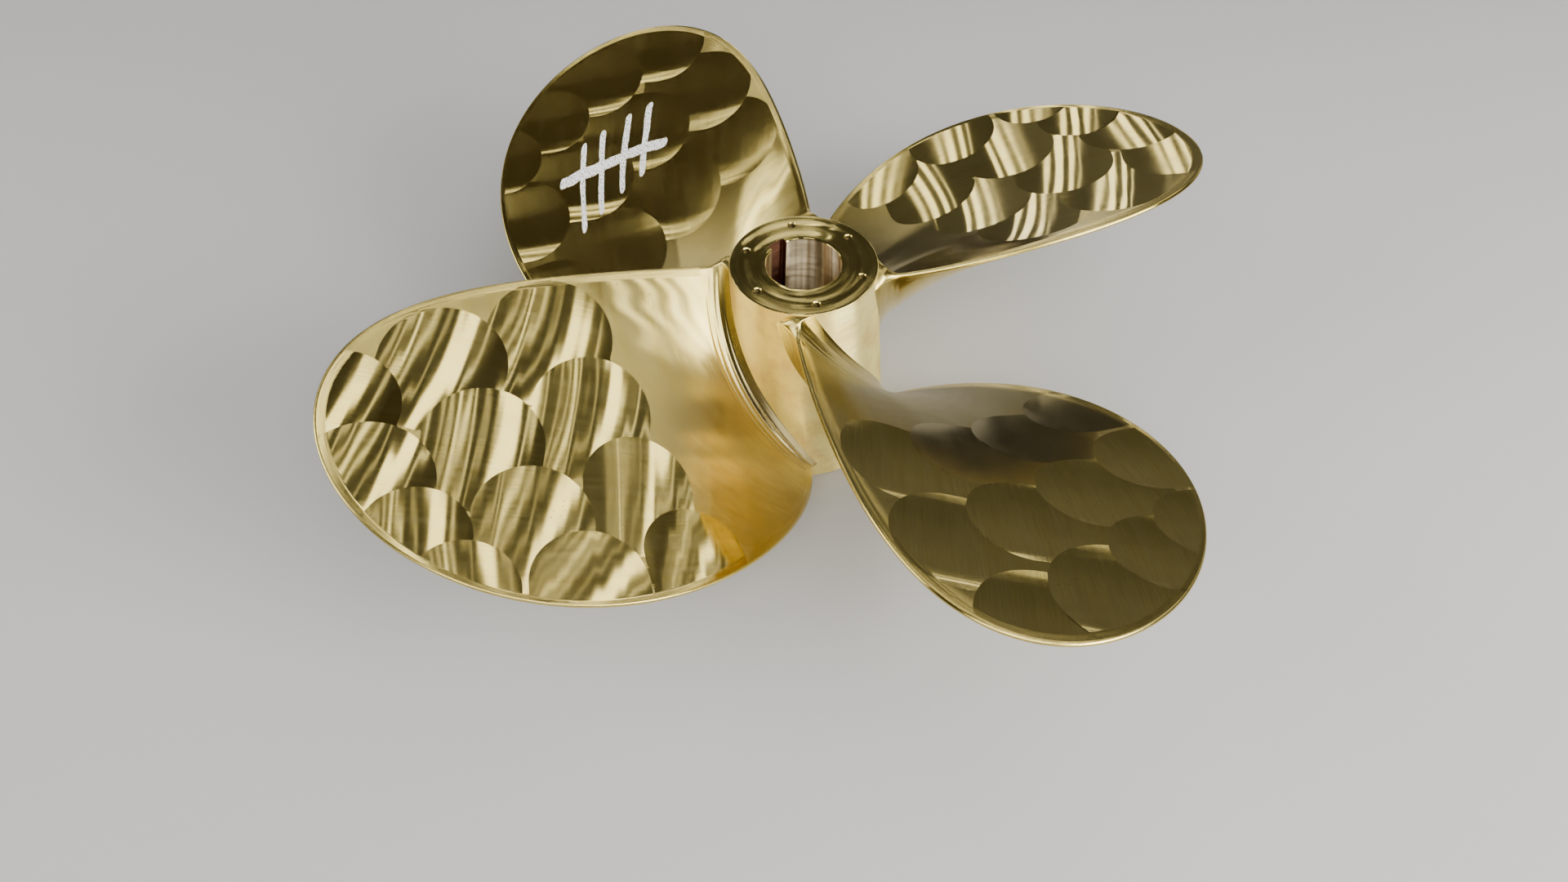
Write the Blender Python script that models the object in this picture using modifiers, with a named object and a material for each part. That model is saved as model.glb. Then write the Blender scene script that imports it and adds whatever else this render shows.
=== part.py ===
"""Left-handed ship propeller: four blades and a tapered hub, cast in one piece.

The propeller rests on the forward end of its hub. The origin is at the centre of that end,
+Z runs up the shaft axis to the aft end, and each blade's reference line lies on +X, +Y, -X or -Y.
Metres and radians inside; the sizes below are in metres and degrees.
"""

import math

import bmesh
import bpy
import numpy as np

# Hub
HUB_LENGTH = 0.305
HUB_AFT_RADIUS = 0.100
HUB_FORWARD_RADIUS = 0.1225
HUB_RIM_CHAMFER = 0.0015
HUB_BASE_CHAMFER = 0.004
BORE_AFT_RADIUS = 0.051
BORE_TAPER = 1 / 12
BORE_CHAMFER = 0.002
HUB_SIDES = 96

# Keyway in the bore, for the shaft's key
KEYWAY_AZIMUTH = 138.0
KEYWAY_WIDTH = 0.026
KEYWAY_DEPTH = 0.007

# Tapped holes in the aft face, for the fairing cap
HOLE_COUNT = 6
HOLE_CIRCLE_RADIUS = 0.0815
HOLE_RADIUS = 0.0051
HOLE_DEPTH = 0.030
HOLE_CHAMFER = 0.0012
HOLE_TIP_ANGLE = 59.0
HOLE_SIDES = 16

# Blades: widths, offsets and heights are given at the root, along the blade and at the tip
BLADE_COUNT = 4
TIP_RADIUS = 0.652
ROOT_RADIUS = 0.0962
PITCH_AT_ROOT = 0.963
PITCH_AT_TIP = 0.932
WIDTH_AT_ROOT = 0.319
WIDTH_AT_MID = 0.573
WIDTH_AT_TIP = 0.879
TIP_ROUNDING = 2.14
SWEEP_AT_ROOT = -0.163
SWEEP_AT_THIRD = -0.290
SWEEP_AT_TWO_THIRDS = -0.398
SWEEP_AT_TIP = -0.453
RAKE_AT_ROOT = -0.009
RAKE_AT_MID = 0.049
RAKE_AT_TIP = 0.091
THICKNESS_AT_ROOT = 0.044
THICKNESS_AT_TIP = 0.010
EDGE_THICKNESS = 0.007

# Fillets where a blade grows out of the hub
FACE_FILLET = 0.028
EDGE_FILLET = 0.010
FILLET_FACE_MARGIN = 0.0015
FILLET_START = 0.003
EMBEDMENT = 0.018

# Fineness of a blade's surface
CHORD_STEPS = 16
RIM_STEPS = 4
FILLET_DISTANCES = (0.0, 0.15, 0.4, 0.75, 1.25)
SPAN_STEPS = 17

BRONZE_COLOR = (0.60, 0.47, 0.22, 1.0)
BRONZE_ROUGHNESS = 0.25
OVERRUN = 0.01


def through(values, fraction):
    """The polynomial that passes through evenly spaced values, the first at 0 and the last at 1."""
    places = np.linspace(0, 1, len(values))
    total = 0
    for i, value in enumerate(values):
        term = value
        for j, place in enumerate(places):
            if j != i:
                term = term * (fraction - place) / (places[i] - place)
        total = total + term
    return total


def hub_radius(z):
    """Radius of the hub's outside at a height above its forward end."""
    share = np.clip(z / HUB_LENGTH, 0, 1)
    return HUB_FORWARD_RADIUS + (HUB_AFT_RADIUS - HUB_FORWARD_RADIUS) * share


def bore_radius(z):
    """Radius of the taper bore, which narrows towards the aft end."""
    return BORE_AFT_RADIUS + BORE_TAPER / 2 * (HUB_LENGTH - z)


def span_fraction(radius):
    """0 at the root radius and 1 at the tip."""
    return np.clip((radius - ROOT_RADIUS) / (TIP_RADIUS - ROOT_RADIUS), 0, 1)


def blade_limits(radius):
    """Where the leading and trailing edges lie along the helix at a radius, from the reference line."""
    u = span_fraction(radius)
    width = np.sqrt(1 - u**TIP_ROUNDING) * through((WIDTH_AT_ROOT, WIDTH_AT_MID, WIDTH_AT_TIP), u)
    middle = through((SWEEP_AT_ROOT, SWEEP_AT_THIRD, SWEEP_AT_TWO_THIRDS, SWEEP_AT_TIP), u)
    return middle - width / 2, middle + width / 2


def blade_point(radius, along, above):
    """A point on the cylinder of this radius, along the helix and above the pressure face."""
    u = span_fraction(radius)
    helix = np.arctan2(through((PITCH_AT_ROOT, PITCH_AT_TIP), u), 2 * math.pi * radius)
    rake = through((RAKE_AT_ROOT, RAKE_AT_MID, RAKE_AT_TIP), u)
    azimuth = (above * np.sin(helix) - along * np.cos(helix)) / radius
    z = HUB_LENGTH + rake + along * np.sin(helix) + above * np.cos(helix)
    return np.stack([radius * np.cos(azimuth), radius * np.sin(azimuth), z], -1)


def flare(clearance, fillet):
    """How far a fillet of this radius stands off the blade, this far out from the hub."""
    rest = np.clip(fillet - clearance - FILLET_START, 0, fillet)
    return fillet - np.sqrt(fillet**2 - rest**2)


def blade_rows():
    """Nominal radii of the rows: one inside the hub, some over the fillet and the rest out to the tip."""
    mean = (HUB_AFT_RADIUS + HUB_FORWARD_RADIUS) / 2
    rows = [mean - EMBEDMENT]
    rows += [mean + share * FACE_FILLET for share in FILLET_DISTANCES]
    start = math.asin(span_fraction(rows[-1]))
    for i in range(1, SPAN_STEPS + 1):
        u = math.sin(start + (math.pi / 2 - start) * i / SPAN_STEPS)
        rows.append(ROOT_RADIUS + u * (TIP_RADIUS - EDGE_THICKNESS / 2 - ROOT_RADIUS))
    return rows


def blade_section(nominal):
    """Radius, place along the helix, height of the face and depth of the back, from leading to trailing."""
    mean = (HUB_AFT_RADIUS + HUB_FORWARD_RADIUS) / 2
    fade = max(0.0, 1 - max(0.0, nominal - mean) / (4 * FACE_FILLET))
    place = np.linspace(-1, 1, CHORD_STEPS + 1)
    low, high = blade_limits(mean)
    height = blade_point(mean, (low + high) / 2 + place * (high - low) / 2, 0)[:, 2]
    radius = nominal + fade * (hub_radius(height) - mean)
    low, high = blade_limits(radius * TIP_RADIUS / (TIP_RADIUS - EDGE_THICKNESS / 2))
    u = span_fraction(radius * TIP_RADIUS / (TIP_RADIUS - EDGE_THICKNESS / 2))
    clearance = radius - hub_radius(height)
    half = (high - low) / 2 - EDGE_THICKNESS / 2 * (1 - u**8) + flare(clearance, EDGE_FILLET)
    fullness = 1 - np.abs(place) ** 2.4
    above = flare(clearance, EDGE_FILLET + (FACE_FILLET - EDGE_FILLET) * fullness)
    thickest = THICKNESS_AT_ROOT + (THICKNESS_AT_TIP - THICKNESS_AT_ROOT) * u
    depth = EDGE_THICKNESS + (thickest - EDGE_THICKNESS) * fullness
    return np.stack([radius, (low + high) / 2 + place * half, above, depth])


def outward(path):
    """Unit normals of a path of radius and place, on the left of its direction."""
    step = np.gradient(path, axis=0)
    normal = np.stack([-step[:, 1], step[:, 0]], -1)
    return normal / np.linalg.norm(normal, axis=1, keepdims=True)


def blade_rings():
    """Rings of points from the hub to the tip: pressure face, trailing rim, back and leading rim."""
    sections = [blade_section(row) for row in blade_rows()]
    trailing = [section[:2, -1] for section in sections]
    leading = [section[:2, 0] for section in sections]
    normals = outward(np.array(trailing + leading[-2::-1]))
    turns = np.linspace(0, math.pi, RIM_STEPS + 1)[1:-1, None]
    rings = []
    for i, section in enumerate(sections):
        radius, along, above, depth = section
        rims = []
        for end, normal in ((-1, normals[i]), (0, normals[len(normals) - 1 - i])):
            reach = EDGE_THICKNESS / 2 * np.sin(turns) * normal
            rise = (depth[end] / 2 + above[end]) * np.cos(turns[:, 0]) - depth[end] / 2
            rims.append(blade_point(radius[end] + reach[:, 0], along[end] + reach[:, 1], rise))
        face = blade_point(radius, along, above)
        back = blade_point(radius, along, -depth - above)
        ring = np.concatenate([face, rims[0], back[::-1], rims[1][::-1]])
        near = np.hypot(ring[:, 0], ring[:, 1]) < HUB_AFT_RADIUS + FACE_FILLET
        ring[near, 2] = np.minimum(ring[near, 2], HUB_LENGTH - FILLET_FACE_MARGIN)
        rings.append(ring)
    return rings


def blade_mesh():
    """Closed mesh of one blade, a loft of its sections from inside the hub to the tip."""
    shape = bmesh.new()
    rings = [[shape.verts.new(point) for point in ring] for ring in blade_rings()]
    count = len(rings[0])
    for inner, outer in zip(rings, rings[1:]):
        for i in range(count):
            j = (i + 1) % count
            shape.faces.new((inner[i], inner[j], outer[j], outer[i]))
    root = rings[0]
    behind = 2 * CHORD_STEPS + RIM_STEPS
    for i in range(CHORD_STEPS):
        shape.faces.new((root[i + 1], root[behind - i - 1], root[behind - i], root[i]))
    shape.faces.new(root[CHORD_STEPS : CHORD_STEPS + RIM_STEPS + 1][::-1])
    shape.faces.new([root[0]] + root[:behind - 1:-1])
    bmesh.ops.remove_doubles(shape, verts=shape.verts, dist=1e-5)
    bmesh.ops.recalc_face_normals(shape, faces=shape.faces)
    bmesh.ops.triangulate(shape, faces=shape.faces)
    mesh = bpy.data.meshes.new("blade")
    shape.to_mesh(mesh)
    shape.free()
    mesh.shade_smooth()
    mesh.set_sharp_from_angle(angle=math.radians(35))
    return mesh


def turned_mesh(name, outline, closed):
    """Mesh of a profile in the XZ plane, for a Screw modifier to turn about Z."""
    mesh = bpy.data.meshes.new(name)
    edges = [(i, i + 1) for i in range(len(outline) - 1)]
    if closed:
        edges.append((len(outline) - 1, 0))
    mesh.from_pydata([(x, 0, z) for x, z in outline], edges, [])
    return mesh


def add_screw(target, sides):
    screw = target.modifiers.new("turn", "SCREW")
    screw.steps = sides
    screw.render_steps = sides
    screw.use_merge_vertices = True
    screw.merge_threshold = 1e-5
    screw.use_smooth_shade = True


def add_object(name, mesh, collection, location=(0, 0, 0), rotation=(0, 0, 0)):
    target = bpy.data.objects.new(name, mesh)
    target.location = location
    target.rotation_euler = rotation
    collection.objects.link(target)
    return target


def as_shape(target):
    """Marks an object as a helper that only a Boolean uses."""
    target.hide_render = True
    target.display_type = "WIRE"
    return target


def make_hub(collection):
    """The turned hub with its taper bore; the blades and cuts are added by its modifiers."""
    outline = (
        (HUB_AFT_RADIUS - HUB_RIM_CHAMFER, HUB_LENGTH),
        (HUB_AFT_RADIUS, HUB_LENGTH - HUB_RIM_CHAMFER),
        (HUB_FORWARD_RADIUS, HUB_BASE_CHAMFER),
        (HUB_FORWARD_RADIUS - HUB_BASE_CHAMFER, 0),
        (bore_radius(0) + BORE_CHAMFER, 0),
        (bore_radius(BORE_CHAMFER), BORE_CHAMFER),
        (bore_radius(HUB_LENGTH - BORE_CHAMFER), HUB_LENGTH - BORE_CHAMFER),
        (BORE_AFT_RADIUS + BORE_CHAMFER, HUB_LENGTH),
    )
    hub = add_object("propeller_casting", turned_mesh("hub", outline, True), collection)
    add_screw(hub, HUB_SIDES)
    return hub


def make_blades(collection):
    mesh = blade_mesh()
    for i in range(BLADE_COUNT):
        turn = (0, 0, 2 * math.pi * i / BLADE_COUNT)
        as_shape(add_object(f"blade_{i + 1}", mesh, collection, rotation=turn))


def make_keyway(collection):
    """A box along the taper bore's wall, as deep everywhere as the keyway."""
    azimuth = math.radians(KEYWAY_AZIMUTH)
    tilt = math.atan(BORE_TAPER / 2)
    shape = bmesh.new()
    bmesh.ops.create_cube(shape, size=1)
    inward = BORE_AFT_RADIUS / 2
    size = (KEYWAY_DEPTH + inward, KEYWAY_WIDTH, HUB_LENGTH / math.cos(tilt) + 2 * OVERRUN)
    bmesh.ops.scale(shape, verts=shape.verts, vec=size)
    mesh = bpy.data.meshes.new("keyway")
    shape.to_mesh(mesh)
    shape.free()
    middle = bore_radius(HUB_LENGTH / 2) + (KEYWAY_DEPTH - inward) / 2
    place = (middle * math.cos(azimuth), middle * math.sin(azimuth), HUB_LENGTH / 2)
    cutter = add_object("keyway_cutter", mesh, collection, place)
    cutter.rotation_euler = (0, -tilt, azimuth)
    as_shape(cutter)


def make_holes(collection):
    """Chamfered blind holes with a drill's conical end, spaced evenly with the keyway between two."""
    tip = HOLE_RADIUS / math.tan(math.radians(HOLE_TIP_ANGLE))
    mouth = HOLE_RADIUS + HOLE_CHAMFER
    outline = (
        (0, OVERRUN),
        (mouth, OVERRUN),
        (mouth, 0),
        (HOLE_RADIUS, -HOLE_CHAMFER),
        (HOLE_RADIUS, -HOLE_DEPTH),
        (0, -HOLE_DEPTH - tip),
    )
    mesh = turned_mesh("hole", outline, False)
    for i in range(HOLE_COUNT):
        azimuth = math.radians(KEYWAY_AZIMUTH) + 2 * math.pi * (i + 0.5) / HOLE_COUNT
        place = (HOLE_CIRCLE_RADIUS * math.cos(azimuth), HOLE_CIRCLE_RADIUS * math.sin(azimuth), HUB_LENGTH)
        cutter = add_object(f"hole_cutter_{i + 1}", mesh, collection, place)
        add_screw(cutter, HOLE_SIDES)
        as_shape(cutter)


def combine(target, operation, collection):
    boolean = target.modifiers.new(operation.lower(), "BOOLEAN")
    boolean.operation = operation
    boolean.operand_type = "COLLECTION"
    boolean.collection = collection
    boolean.solver = "EXACT"


def bronze():
    material = bpy.data.materials.new("polished_bronze")
    material.use_nodes = True
    shader = material.node_tree.nodes["Principled BSDF"]
    shader.inputs["Base Color"].default_value = BRONZE_COLOR
    shader.inputs["Metallic"].default_value = 1.0
    shader.inputs["Roughness"].default_value = BRONZE_ROUGHNESS
    return material


def new_collection(name):
    collection = bpy.data.collections.new(name)
    bpy.context.scene.collection.children.link(collection)
    return collection


def main():
    for old in list(bpy.data.objects):
        bpy.data.objects.remove(old)
    parts = new_collection("ship_propeller")
    blades = new_collection("blade_shapes")
    cutters = new_collection("cutters")
    hub = make_hub(parts)
    make_blades(blades)
    make_keyway(cutters)
    make_holes(cutters)
    combine(hub, "UNION", blades)
    combine(hub, "DIFFERENCE", cutters)
    hub.data.materials.append(bronze())


main()
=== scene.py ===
"""Dresses the ship propeller: fine blades with buffed discs, a turned hub, cut threads and bronze.

The frame is the packed CAD model, in metres. The hub stands on its forward end, +Z runs up the
shaft axis, and the blades' reference lines lie at azimuths 0, 90, 180 and 270 degrees.
"""

import math

import bmesh
import bpy
import numpy as np
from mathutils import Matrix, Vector


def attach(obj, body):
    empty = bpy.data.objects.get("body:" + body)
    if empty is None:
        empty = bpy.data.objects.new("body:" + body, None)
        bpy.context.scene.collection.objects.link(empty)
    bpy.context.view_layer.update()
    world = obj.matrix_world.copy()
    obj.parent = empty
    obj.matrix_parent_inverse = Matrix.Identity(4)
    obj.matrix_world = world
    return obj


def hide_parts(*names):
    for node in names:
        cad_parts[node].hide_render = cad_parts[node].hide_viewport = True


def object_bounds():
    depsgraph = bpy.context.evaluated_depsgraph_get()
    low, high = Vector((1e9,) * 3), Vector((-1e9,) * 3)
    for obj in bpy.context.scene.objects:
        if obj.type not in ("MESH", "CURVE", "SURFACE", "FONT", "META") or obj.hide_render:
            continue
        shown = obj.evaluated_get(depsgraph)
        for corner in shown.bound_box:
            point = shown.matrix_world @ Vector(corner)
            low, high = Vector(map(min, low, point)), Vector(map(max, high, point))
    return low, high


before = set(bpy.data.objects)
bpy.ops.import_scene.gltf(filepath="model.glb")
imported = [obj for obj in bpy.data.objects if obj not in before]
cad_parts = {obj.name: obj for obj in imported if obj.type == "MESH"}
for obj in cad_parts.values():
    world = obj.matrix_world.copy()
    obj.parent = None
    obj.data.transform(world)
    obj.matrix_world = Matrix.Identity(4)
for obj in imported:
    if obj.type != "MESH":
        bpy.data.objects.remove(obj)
CAD_BOX = [list(corner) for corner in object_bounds()]

bl_info = {
    "name": "Ship Propeller",
    "version": (1, 0, 0),
    "blender": (4, 5, 0),
    "location": "View3D > Sidebar > Propeller",
    "description": "Builds a four-bladed bronze ship propeller with hand-buffed blades",
    "category": "Object",
}

NODE = "propeller_casting"

# The blades' laws, as in the CAD: values at the root, along the blade and at the tip, in metres
ROOT_RADIUS = 0.0962
TIP_RADIUS = 0.652
BLADE_PITCH = (0.963, 0.932)
BLADE_WIDTH = (0.319, 0.573, 0.879)
TIP_ROUNDING = 2.14
BLADE_SWEEP = (-0.163, -0.290, -0.398, -0.453)
BLADE_RAKE = (-0.009, 0.049, 0.091)
FILLET_START = 0.003
FILLET_FACE_MARGIN = 0.0015

# Buffed discs on a blade, in the order in which they were ground:
# radius from the shaft axis, place along the helix, radius of the disc
DISCS = (
    (0.347, -0.172, 0.0806),
    (0.483, -0.249, 0.0791),
    (0.616, -0.346, 0.0766),
    (0.336, -0.279, 0.0772),
    (0.475, -0.363, 0.0738),
    (0.617, -0.458, 0.0792),
    (0.355, -0.411, 0.0718),
    (0.486, -0.492, 0.0730),
    (0.605, -0.540, 0.0640),
    (0.390, -0.559, 0.0665),
    (0.503, -0.615, 0.0718),
    (0.606, -0.629, 0.0639),
)

# Each blade's discs: how far they lie from those places in millimetres, outwards and along the
# helix, and how their gloss is turned: in degrees, and in radians a metre outwards and along
DISC_SHIFTS = (
    (
        (11, -27, -6.4, -2.6, -0.3), (0, 0, 3.9, -2.7, -0.3), (-11, 8, 9.1, -2.5, 0.2),
        (14, -27, -14.9, -2.5, -0.2), (0, 11, -2.6, -2.2, -0.5), (2, -3, 5.6, -1.9, 0.4),
        (9, -18, 1.9, -0.9, -0.2), (-4, 16, -7.6, -2.1, -0.1), (0, 0, 1.3, -2, -0.6),
        (16, -30, 0.4, -0.2, -1.2), (2, -3, 9, -0.9, -0.6), (8, -15, -2.5, -1.8, -0.7),
    ),
    (
        (-8, 3, 1.3, 3.1, 0.9), (-29, 25, 5.2, 2.9, 0.3), (-32, 27, 8.9, 2.7, 0),
        (-13, 2, -6.9, 3.6, 0.3), (-29, 30, 0.5, 3.1, 0), (-27, 17, 5.8, 2.8, -0.2),
        (-26, 6, 0, 2.6, 0), (-40, 39, -3.5, 3.3, -0.2), (-31, 7, 2.5, 2.9, -0.3),
        (-11, -16, 0, 2.6, 0), (-16, 3, -4.8, 3.2, -0.3), (-24, -16, 1.1, 3, -0.3),
    ),
    (
        (0, 0, -4.4, 2.8, 0.8), (0, 0, 1, 2.7, 0.5), (0, 0, 0.4, 2.6, 0.3),
        (0, 0, -0.9, 2.9, 0.3), (0, 0, -2.5, 2.8, 0), (0, 0, 5, 2.7, 0.4),
        (0, 0, 1.9, 2.5, 0), (0, 0, 3.8, 2.3, 0.2), (0, 0, 1.9, 2.8, -0.4),
        (0, 0, -0.6, 2.3, 0.3), (0, 0, 0.9, 1.9, 0.5), (0, 0, 0.5, 2.9, -0.6),
    ),
    (
        (-11, 0, -7.2, 2.4, 0.1), (-10, 15, -0.7, 2.6, 0), (-10, 17, 5.6, 3, -0.1),
        (-3, -6, 0, 0.6, 0), (-6, 24, -3.3, 2.5, 0), (-12, 22, 3.4, 2.8, 0),
        (-1, -1, -0.8, 0.6, 0), (-9, 25, -5.4, 2.3, 0), (-16, 14, 0.7, 2.6, 0.1),
        (-1, -5, 0, 0.6, 0), (0, 0, -6.3, 2, 0.1), (-3, 3, 0.6, 2.4, 0.1),
    ),
)

# Each blade's painted shade, a darker olive that stands in for the dark floor mirrored there: how strong it
# is between the discs and the hub, and which discs share it
PAINTED_SHADE = ((0.6, ()), (0, ()), (0, ()), (0.92, (3, 6, 9)))

# How a blade's section and rim thin out: powers of the place across it and of the way to the tip
FULLNESS_POWER = 2.4
RIM_POWER = 8
TIP_POWER = 40

# The blade's rows: they start this far inside the hub and lie close over the fillet, and the
# hub's cone stops bearing on them this many fillets out
ROOT_DEPTH = 0.012
CLOSE_FILLETS = 1.25
FADE_FILLETS = 4

# Steps along the outline that space the rows, and places that are measured from it at a time
OUTLINE_STEPS = 4000
BATCH = 4000

# Parts of a blade's surface, with the rim's faces also closing the root
FRONT, BACK, RIM = range(3)

# Discs: a step for slopes, how near a point counts as on an arc, how far inside it takes the dish,
# the clearance of the hub that they keep, the curve from which their waves are at full height,
# and the share of the sweep along which points are moved onto the arc
FINE_STEP = 1e-4
ON_ARC = 1e-4
POINT_MARGIN = 0.00015
DISC_CLEARANCE = 0.03
FULL_CURVE = 2.8
SNAPPED_SWEEP = 0.9

# The step at a disc's hub side: its direction, and where it starts and ends in radii of the disc
DIAGONAL = 0.7
STEP_SHARES = (-0.2, 0.9)

# Shallow waves: lengths in metres with the slope on the root, or its share in a disc, then how far
# their directions and lengths spread
DISC_WAVES = ((0.046, 1.0), (0.031, 0.9), (0.021, 0.8), (0.014, 0.6))
ROOT_WAVES = ((0.11, 0.013), (0.075, 0.010), (0.05, 0.006))
DISC_SPREAD = 0.05
ROOT_SPREAD = 0.35
LENGTH_SPREAD = (0.85, 1.15)
ROOT_SEED = 900

# Clearances of the hub over which dishes, slopes, waves and the painted shade set in
RISE_CLEARANCE = (0.02, 0.035)
SLOPE_CLEARANCE = (0.015, 0.035)
WAVE_CLEARANCE = (0.004, 0.03)
PAINTED_SHADE_CLEARANCE = (0.005, 0.04)

# Clearances where the grinding ridges start and end, the share of the width over which they fade
# at the edges, and the share of their height that the back has
RIDGES_FROM = (-0.004, 0.004)
RIDGES_TO = (0.036, 0.026)
RIDGE_EDGES = (0.0, 0.12)
BACK_RIDGE = 0.3

# Inside the rim: shares of its band over which the dishes set in, the further width over which
# the painted shade does, and the clearance of the hub from which the brushing follows the rim
RIM_FADE = (0.7, 1.15)
PAINTED_SHADE_FADE = 0.01
RIM_CLEARANCE = 0.02

# Ochre of the leading root: radii and shares of a width over which it fades
WARM_WIDTH = 0.5
WARM_RADII = (0.36, 0.20)
WARM_SHARES = (0.60, 0.25)

# Brush maps are in decimetres; each disc and the hub's walls have a place of their own on them
BRUSH_SCALE = 10
DISC_MAP_SHIFT = 3.7
WALL_MAP_SHIFT = 20

# Hub: rounds at the profile's corners from the aft rim inwards, and what its cutters leave
HUB_ROUNDS = (0.0016, 0.004, 0.002, 0.0022)
ROUND_STEPS = 4
CUTTER_OVERRUN = 0.01
KEYWAY_ROUND = 0.0012
HOLE_CHAMFER = 0.0012
HOLE_SIDES = 32
DRILL_TIP = math.radians(59)
THREAD_START = 0.0014
THREAD_SPARE = 0.004

# How the hub's faces are told apart: parts of a normal that lie along and across the axis, and
# distances from the outside, from a wall and from the bore to the keyway's sides
LEVEL = 0.8
RADIAL = 0.95
OUTSIDE_MARGIN = 0.004
WALL_MARGIN = 0.001
KEYWAY_FROM = 0.0008

# Where the hub's materials change, from and to: radii of the barrel, the face's rings and the
# holes, heights of the face, and the side of the barrel that gets a painted highlight, a paler cream
BARREL_FROM = (0.0985, 0.1005)
RINGS_FROM = (0.052, 0.056)
HOLES_FROM = (0.064, 0.068)
FACE_FROM = (0.3040, 0.3048)
LIT_SIDE_FROM = (-0.01, 0.04)

# Chalk tally on one blade: the strokes' ends as radius and place along the helix, and how far
# the plan map is moved on the parts that have no chalk
CHALKED_BLADE = 1
CHALK_WIDTH = 0.013
FAR_AWAY = 10
CHALK_STROKES = (
    ((0.405, -0.470), (0.497, -0.455)),
    ((0.400, -0.425), (0.492, -0.412)),
    ((0.398, -0.378), (0.488, -0.362)),
    ((0.394, -0.333), (0.484, -0.320)),
    ((0.478, -0.505), (0.412, -0.290)),
)
ORIGIN = (0.0, 0.0, 0.0)

# Soft lights: sets of glowing strips in the plane overhead or in the upright plane behind the propeller.
# Places are across the strips and along them; a slant moves a strip sideways as it runs on.
# Each group: middle, near end, far end, where the slant starts, slant, number of strips
# Each strip: place from the group's middle, width, brightness
OVERHEAD_HEIGHT = 3.5
UPRIGHT_DISTANCE = 4.2
BEHIND_STRIPS = 0.1
LIGHT_SETS = (
    (
        "overhead",
        (
            (-0.6, 0.6, 1.35, 1.2, -0.165, 2),
            (0.1, -0.2, 2.2, 1.2, -0.165, 7),
            (1.4, -0.3, 3.4, 1.2, -0.165, 7),
            (2.7, -0.3, 7.0, 1.2, -0.165, 7),
        ),
        (
            (-0.505, 0.030, 2.4), (-0.260, 0.190, 4.2), (0.015, 0.030, 1.2), (0.200, 0.040, 2.0),
            (0.330, 0.060, 2.9), (0.465, 0.030, 2.0), (0.580, 0.040, 1.4),
        ),
    ),
    ("cross", ((0, -3.6, -1.5, -1.9, -0.1, 3),), ((2.45, 0.05, 3.0), (2.61, 0.08, 3.6), (2.90, 0.12, 3.6))),
    ("cross", ((0, -3.8, -1.9, 0, 0, 2),), ((-1.15, 0.30, 3.0), (-0.60, 0.20, 3.0))),
    (
        "cross",
        ((0, 0.5, 5.6, 0, 0, 4),),
        ((-0.50, 0.16, 5.5), (-0.95, 0.20, 5.5), (-1.50, 0.26, 5.5), (-2.20, 0.36, 5.5)),
    ),
    (
        "overhead",
        ((-4.4, -1.0, 2.8, 1.0, 0.1, 3),),
        ((0.55, 0.16, 4.0), (0.15, 0.30, 4.4), (-0.60, 0.60, 4.4)),
    ),
    (
        "upright",
        ((-0.15, 0.2, 3.6, 1.7, -0.25, 4), (-2.3, 1.3, 5.0, 2.6, -0.45, 4)),
        ((-0.35, 0.11, 3.2), (-0.08, 0.16, 3.8), (0.20, 0.10, 3.4), (0.38, 0.03, 2.4)),
    ),
    ("level", ((0, 1.0, 3.0, 1.9, -0.8, 3),), ((0.575, 0.04, 2.0), (0.41, 0.07, 3.0), (0.17, 0.09, 3.0))),
    ("upright", ((4.8, 0.2, 4.2, 0, 0, 1),), ((0, 3.4, 0.5),)),
    ("ceiling", ((1.95, -0.3, 2.9, 0, 0, 1),), ((0, 4.6, 0.04),)),
    ("ceiling", ((3.2, 2.9, 7.5, 0, 0, 1),), ((0, 2.6, 0.06),)),
    ("ceiling", ((-0.8, 0.7, 1.5, 0, 0, 1),), ((0, 0.9, 0.06),)),
    ("wall", ((0, 0.0, 5.0, 0, 0, 1),), ((0, 9.0, 0.05),)),
)
PLANES = {
    "overhead": lambda across, on: (across, on, OVERHEAD_HEIGHT),
    "cross": lambda across, on: (on, across, OVERHEAD_HEIGHT),
    "upright": lambda across, on: (across, UPRIGHT_DISTANCE, on),
    "level": lambda across, on: (on, UPRIGHT_DISTANCE, across),
    "ceiling": lambda across, on: (across, on, OVERHEAD_HEIGHT + BEHIND_STRIPS),
    "wall": lambda across, on: (across, UPRIGHT_DISTANCE + BEHIND_STRIPS, on),
}
STRIP_COLOUR = (1, 0.98, 0.95, 1)

# Softboxes: name, place, where they point, sides, watts
SOFTBOXES = (
    ("front_softbox", (0.6, -3.8, 3.4), (0.2, 0, 0), (5, 2.5), 230),
    ("left_softbox", (-4.2, -0.9, 1.9), (0, 0, 0.2), (3, 2.4), 100),
    ("right_softbox", (3.8, -1.8, 2.2), (0, 0, 0.2), (2.6, 2), 300),
)

# Colour of the glow that the bronze mirrors and of the backdrop that the camera sees
GLOW = (1.0, 0.84, 0.64, 1)
BACKDROP = (0.50, 0.50, 0.49, 1)
FLOOR_PLACE = (-0.15, -0.42, -0.0004)

# The camera that was fitted to the photograph, its angles in degrees
CAMERA_PLACE = (0.11616, -1.13581, 1.29526)
CAMERA_ANGLES = (40.019, 0.265, 6.929)


def through(values, fraction):
    """The polynomial that passes through evenly spaced values, the first at 0 and the last at 1."""
    places = np.linspace(0, 1, len(values))
    total = 0
    for i, value in enumerate(values):
        term = value
        for j, place in enumerate(places):
            if j != i:
                term = term * (fraction - place) / (places[i] - place)
        total = total + term
    return total


def smooth_between(low, high, value):
    share = np.clip((value - low) / (high - low), 0, 1)
    return share * share * (3 - 2 * share)


def unit(vectors):
    return vectors / np.linalg.norm(vectors, axis=-1, keepdims=True)


def span_fraction(radius):
    """0 at the root radius and 1 at the tip."""
    return np.clip((radius - ROOT_RADIUS) / (TIP_RADIUS - ROOT_RADIUS), 0, 1)


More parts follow.
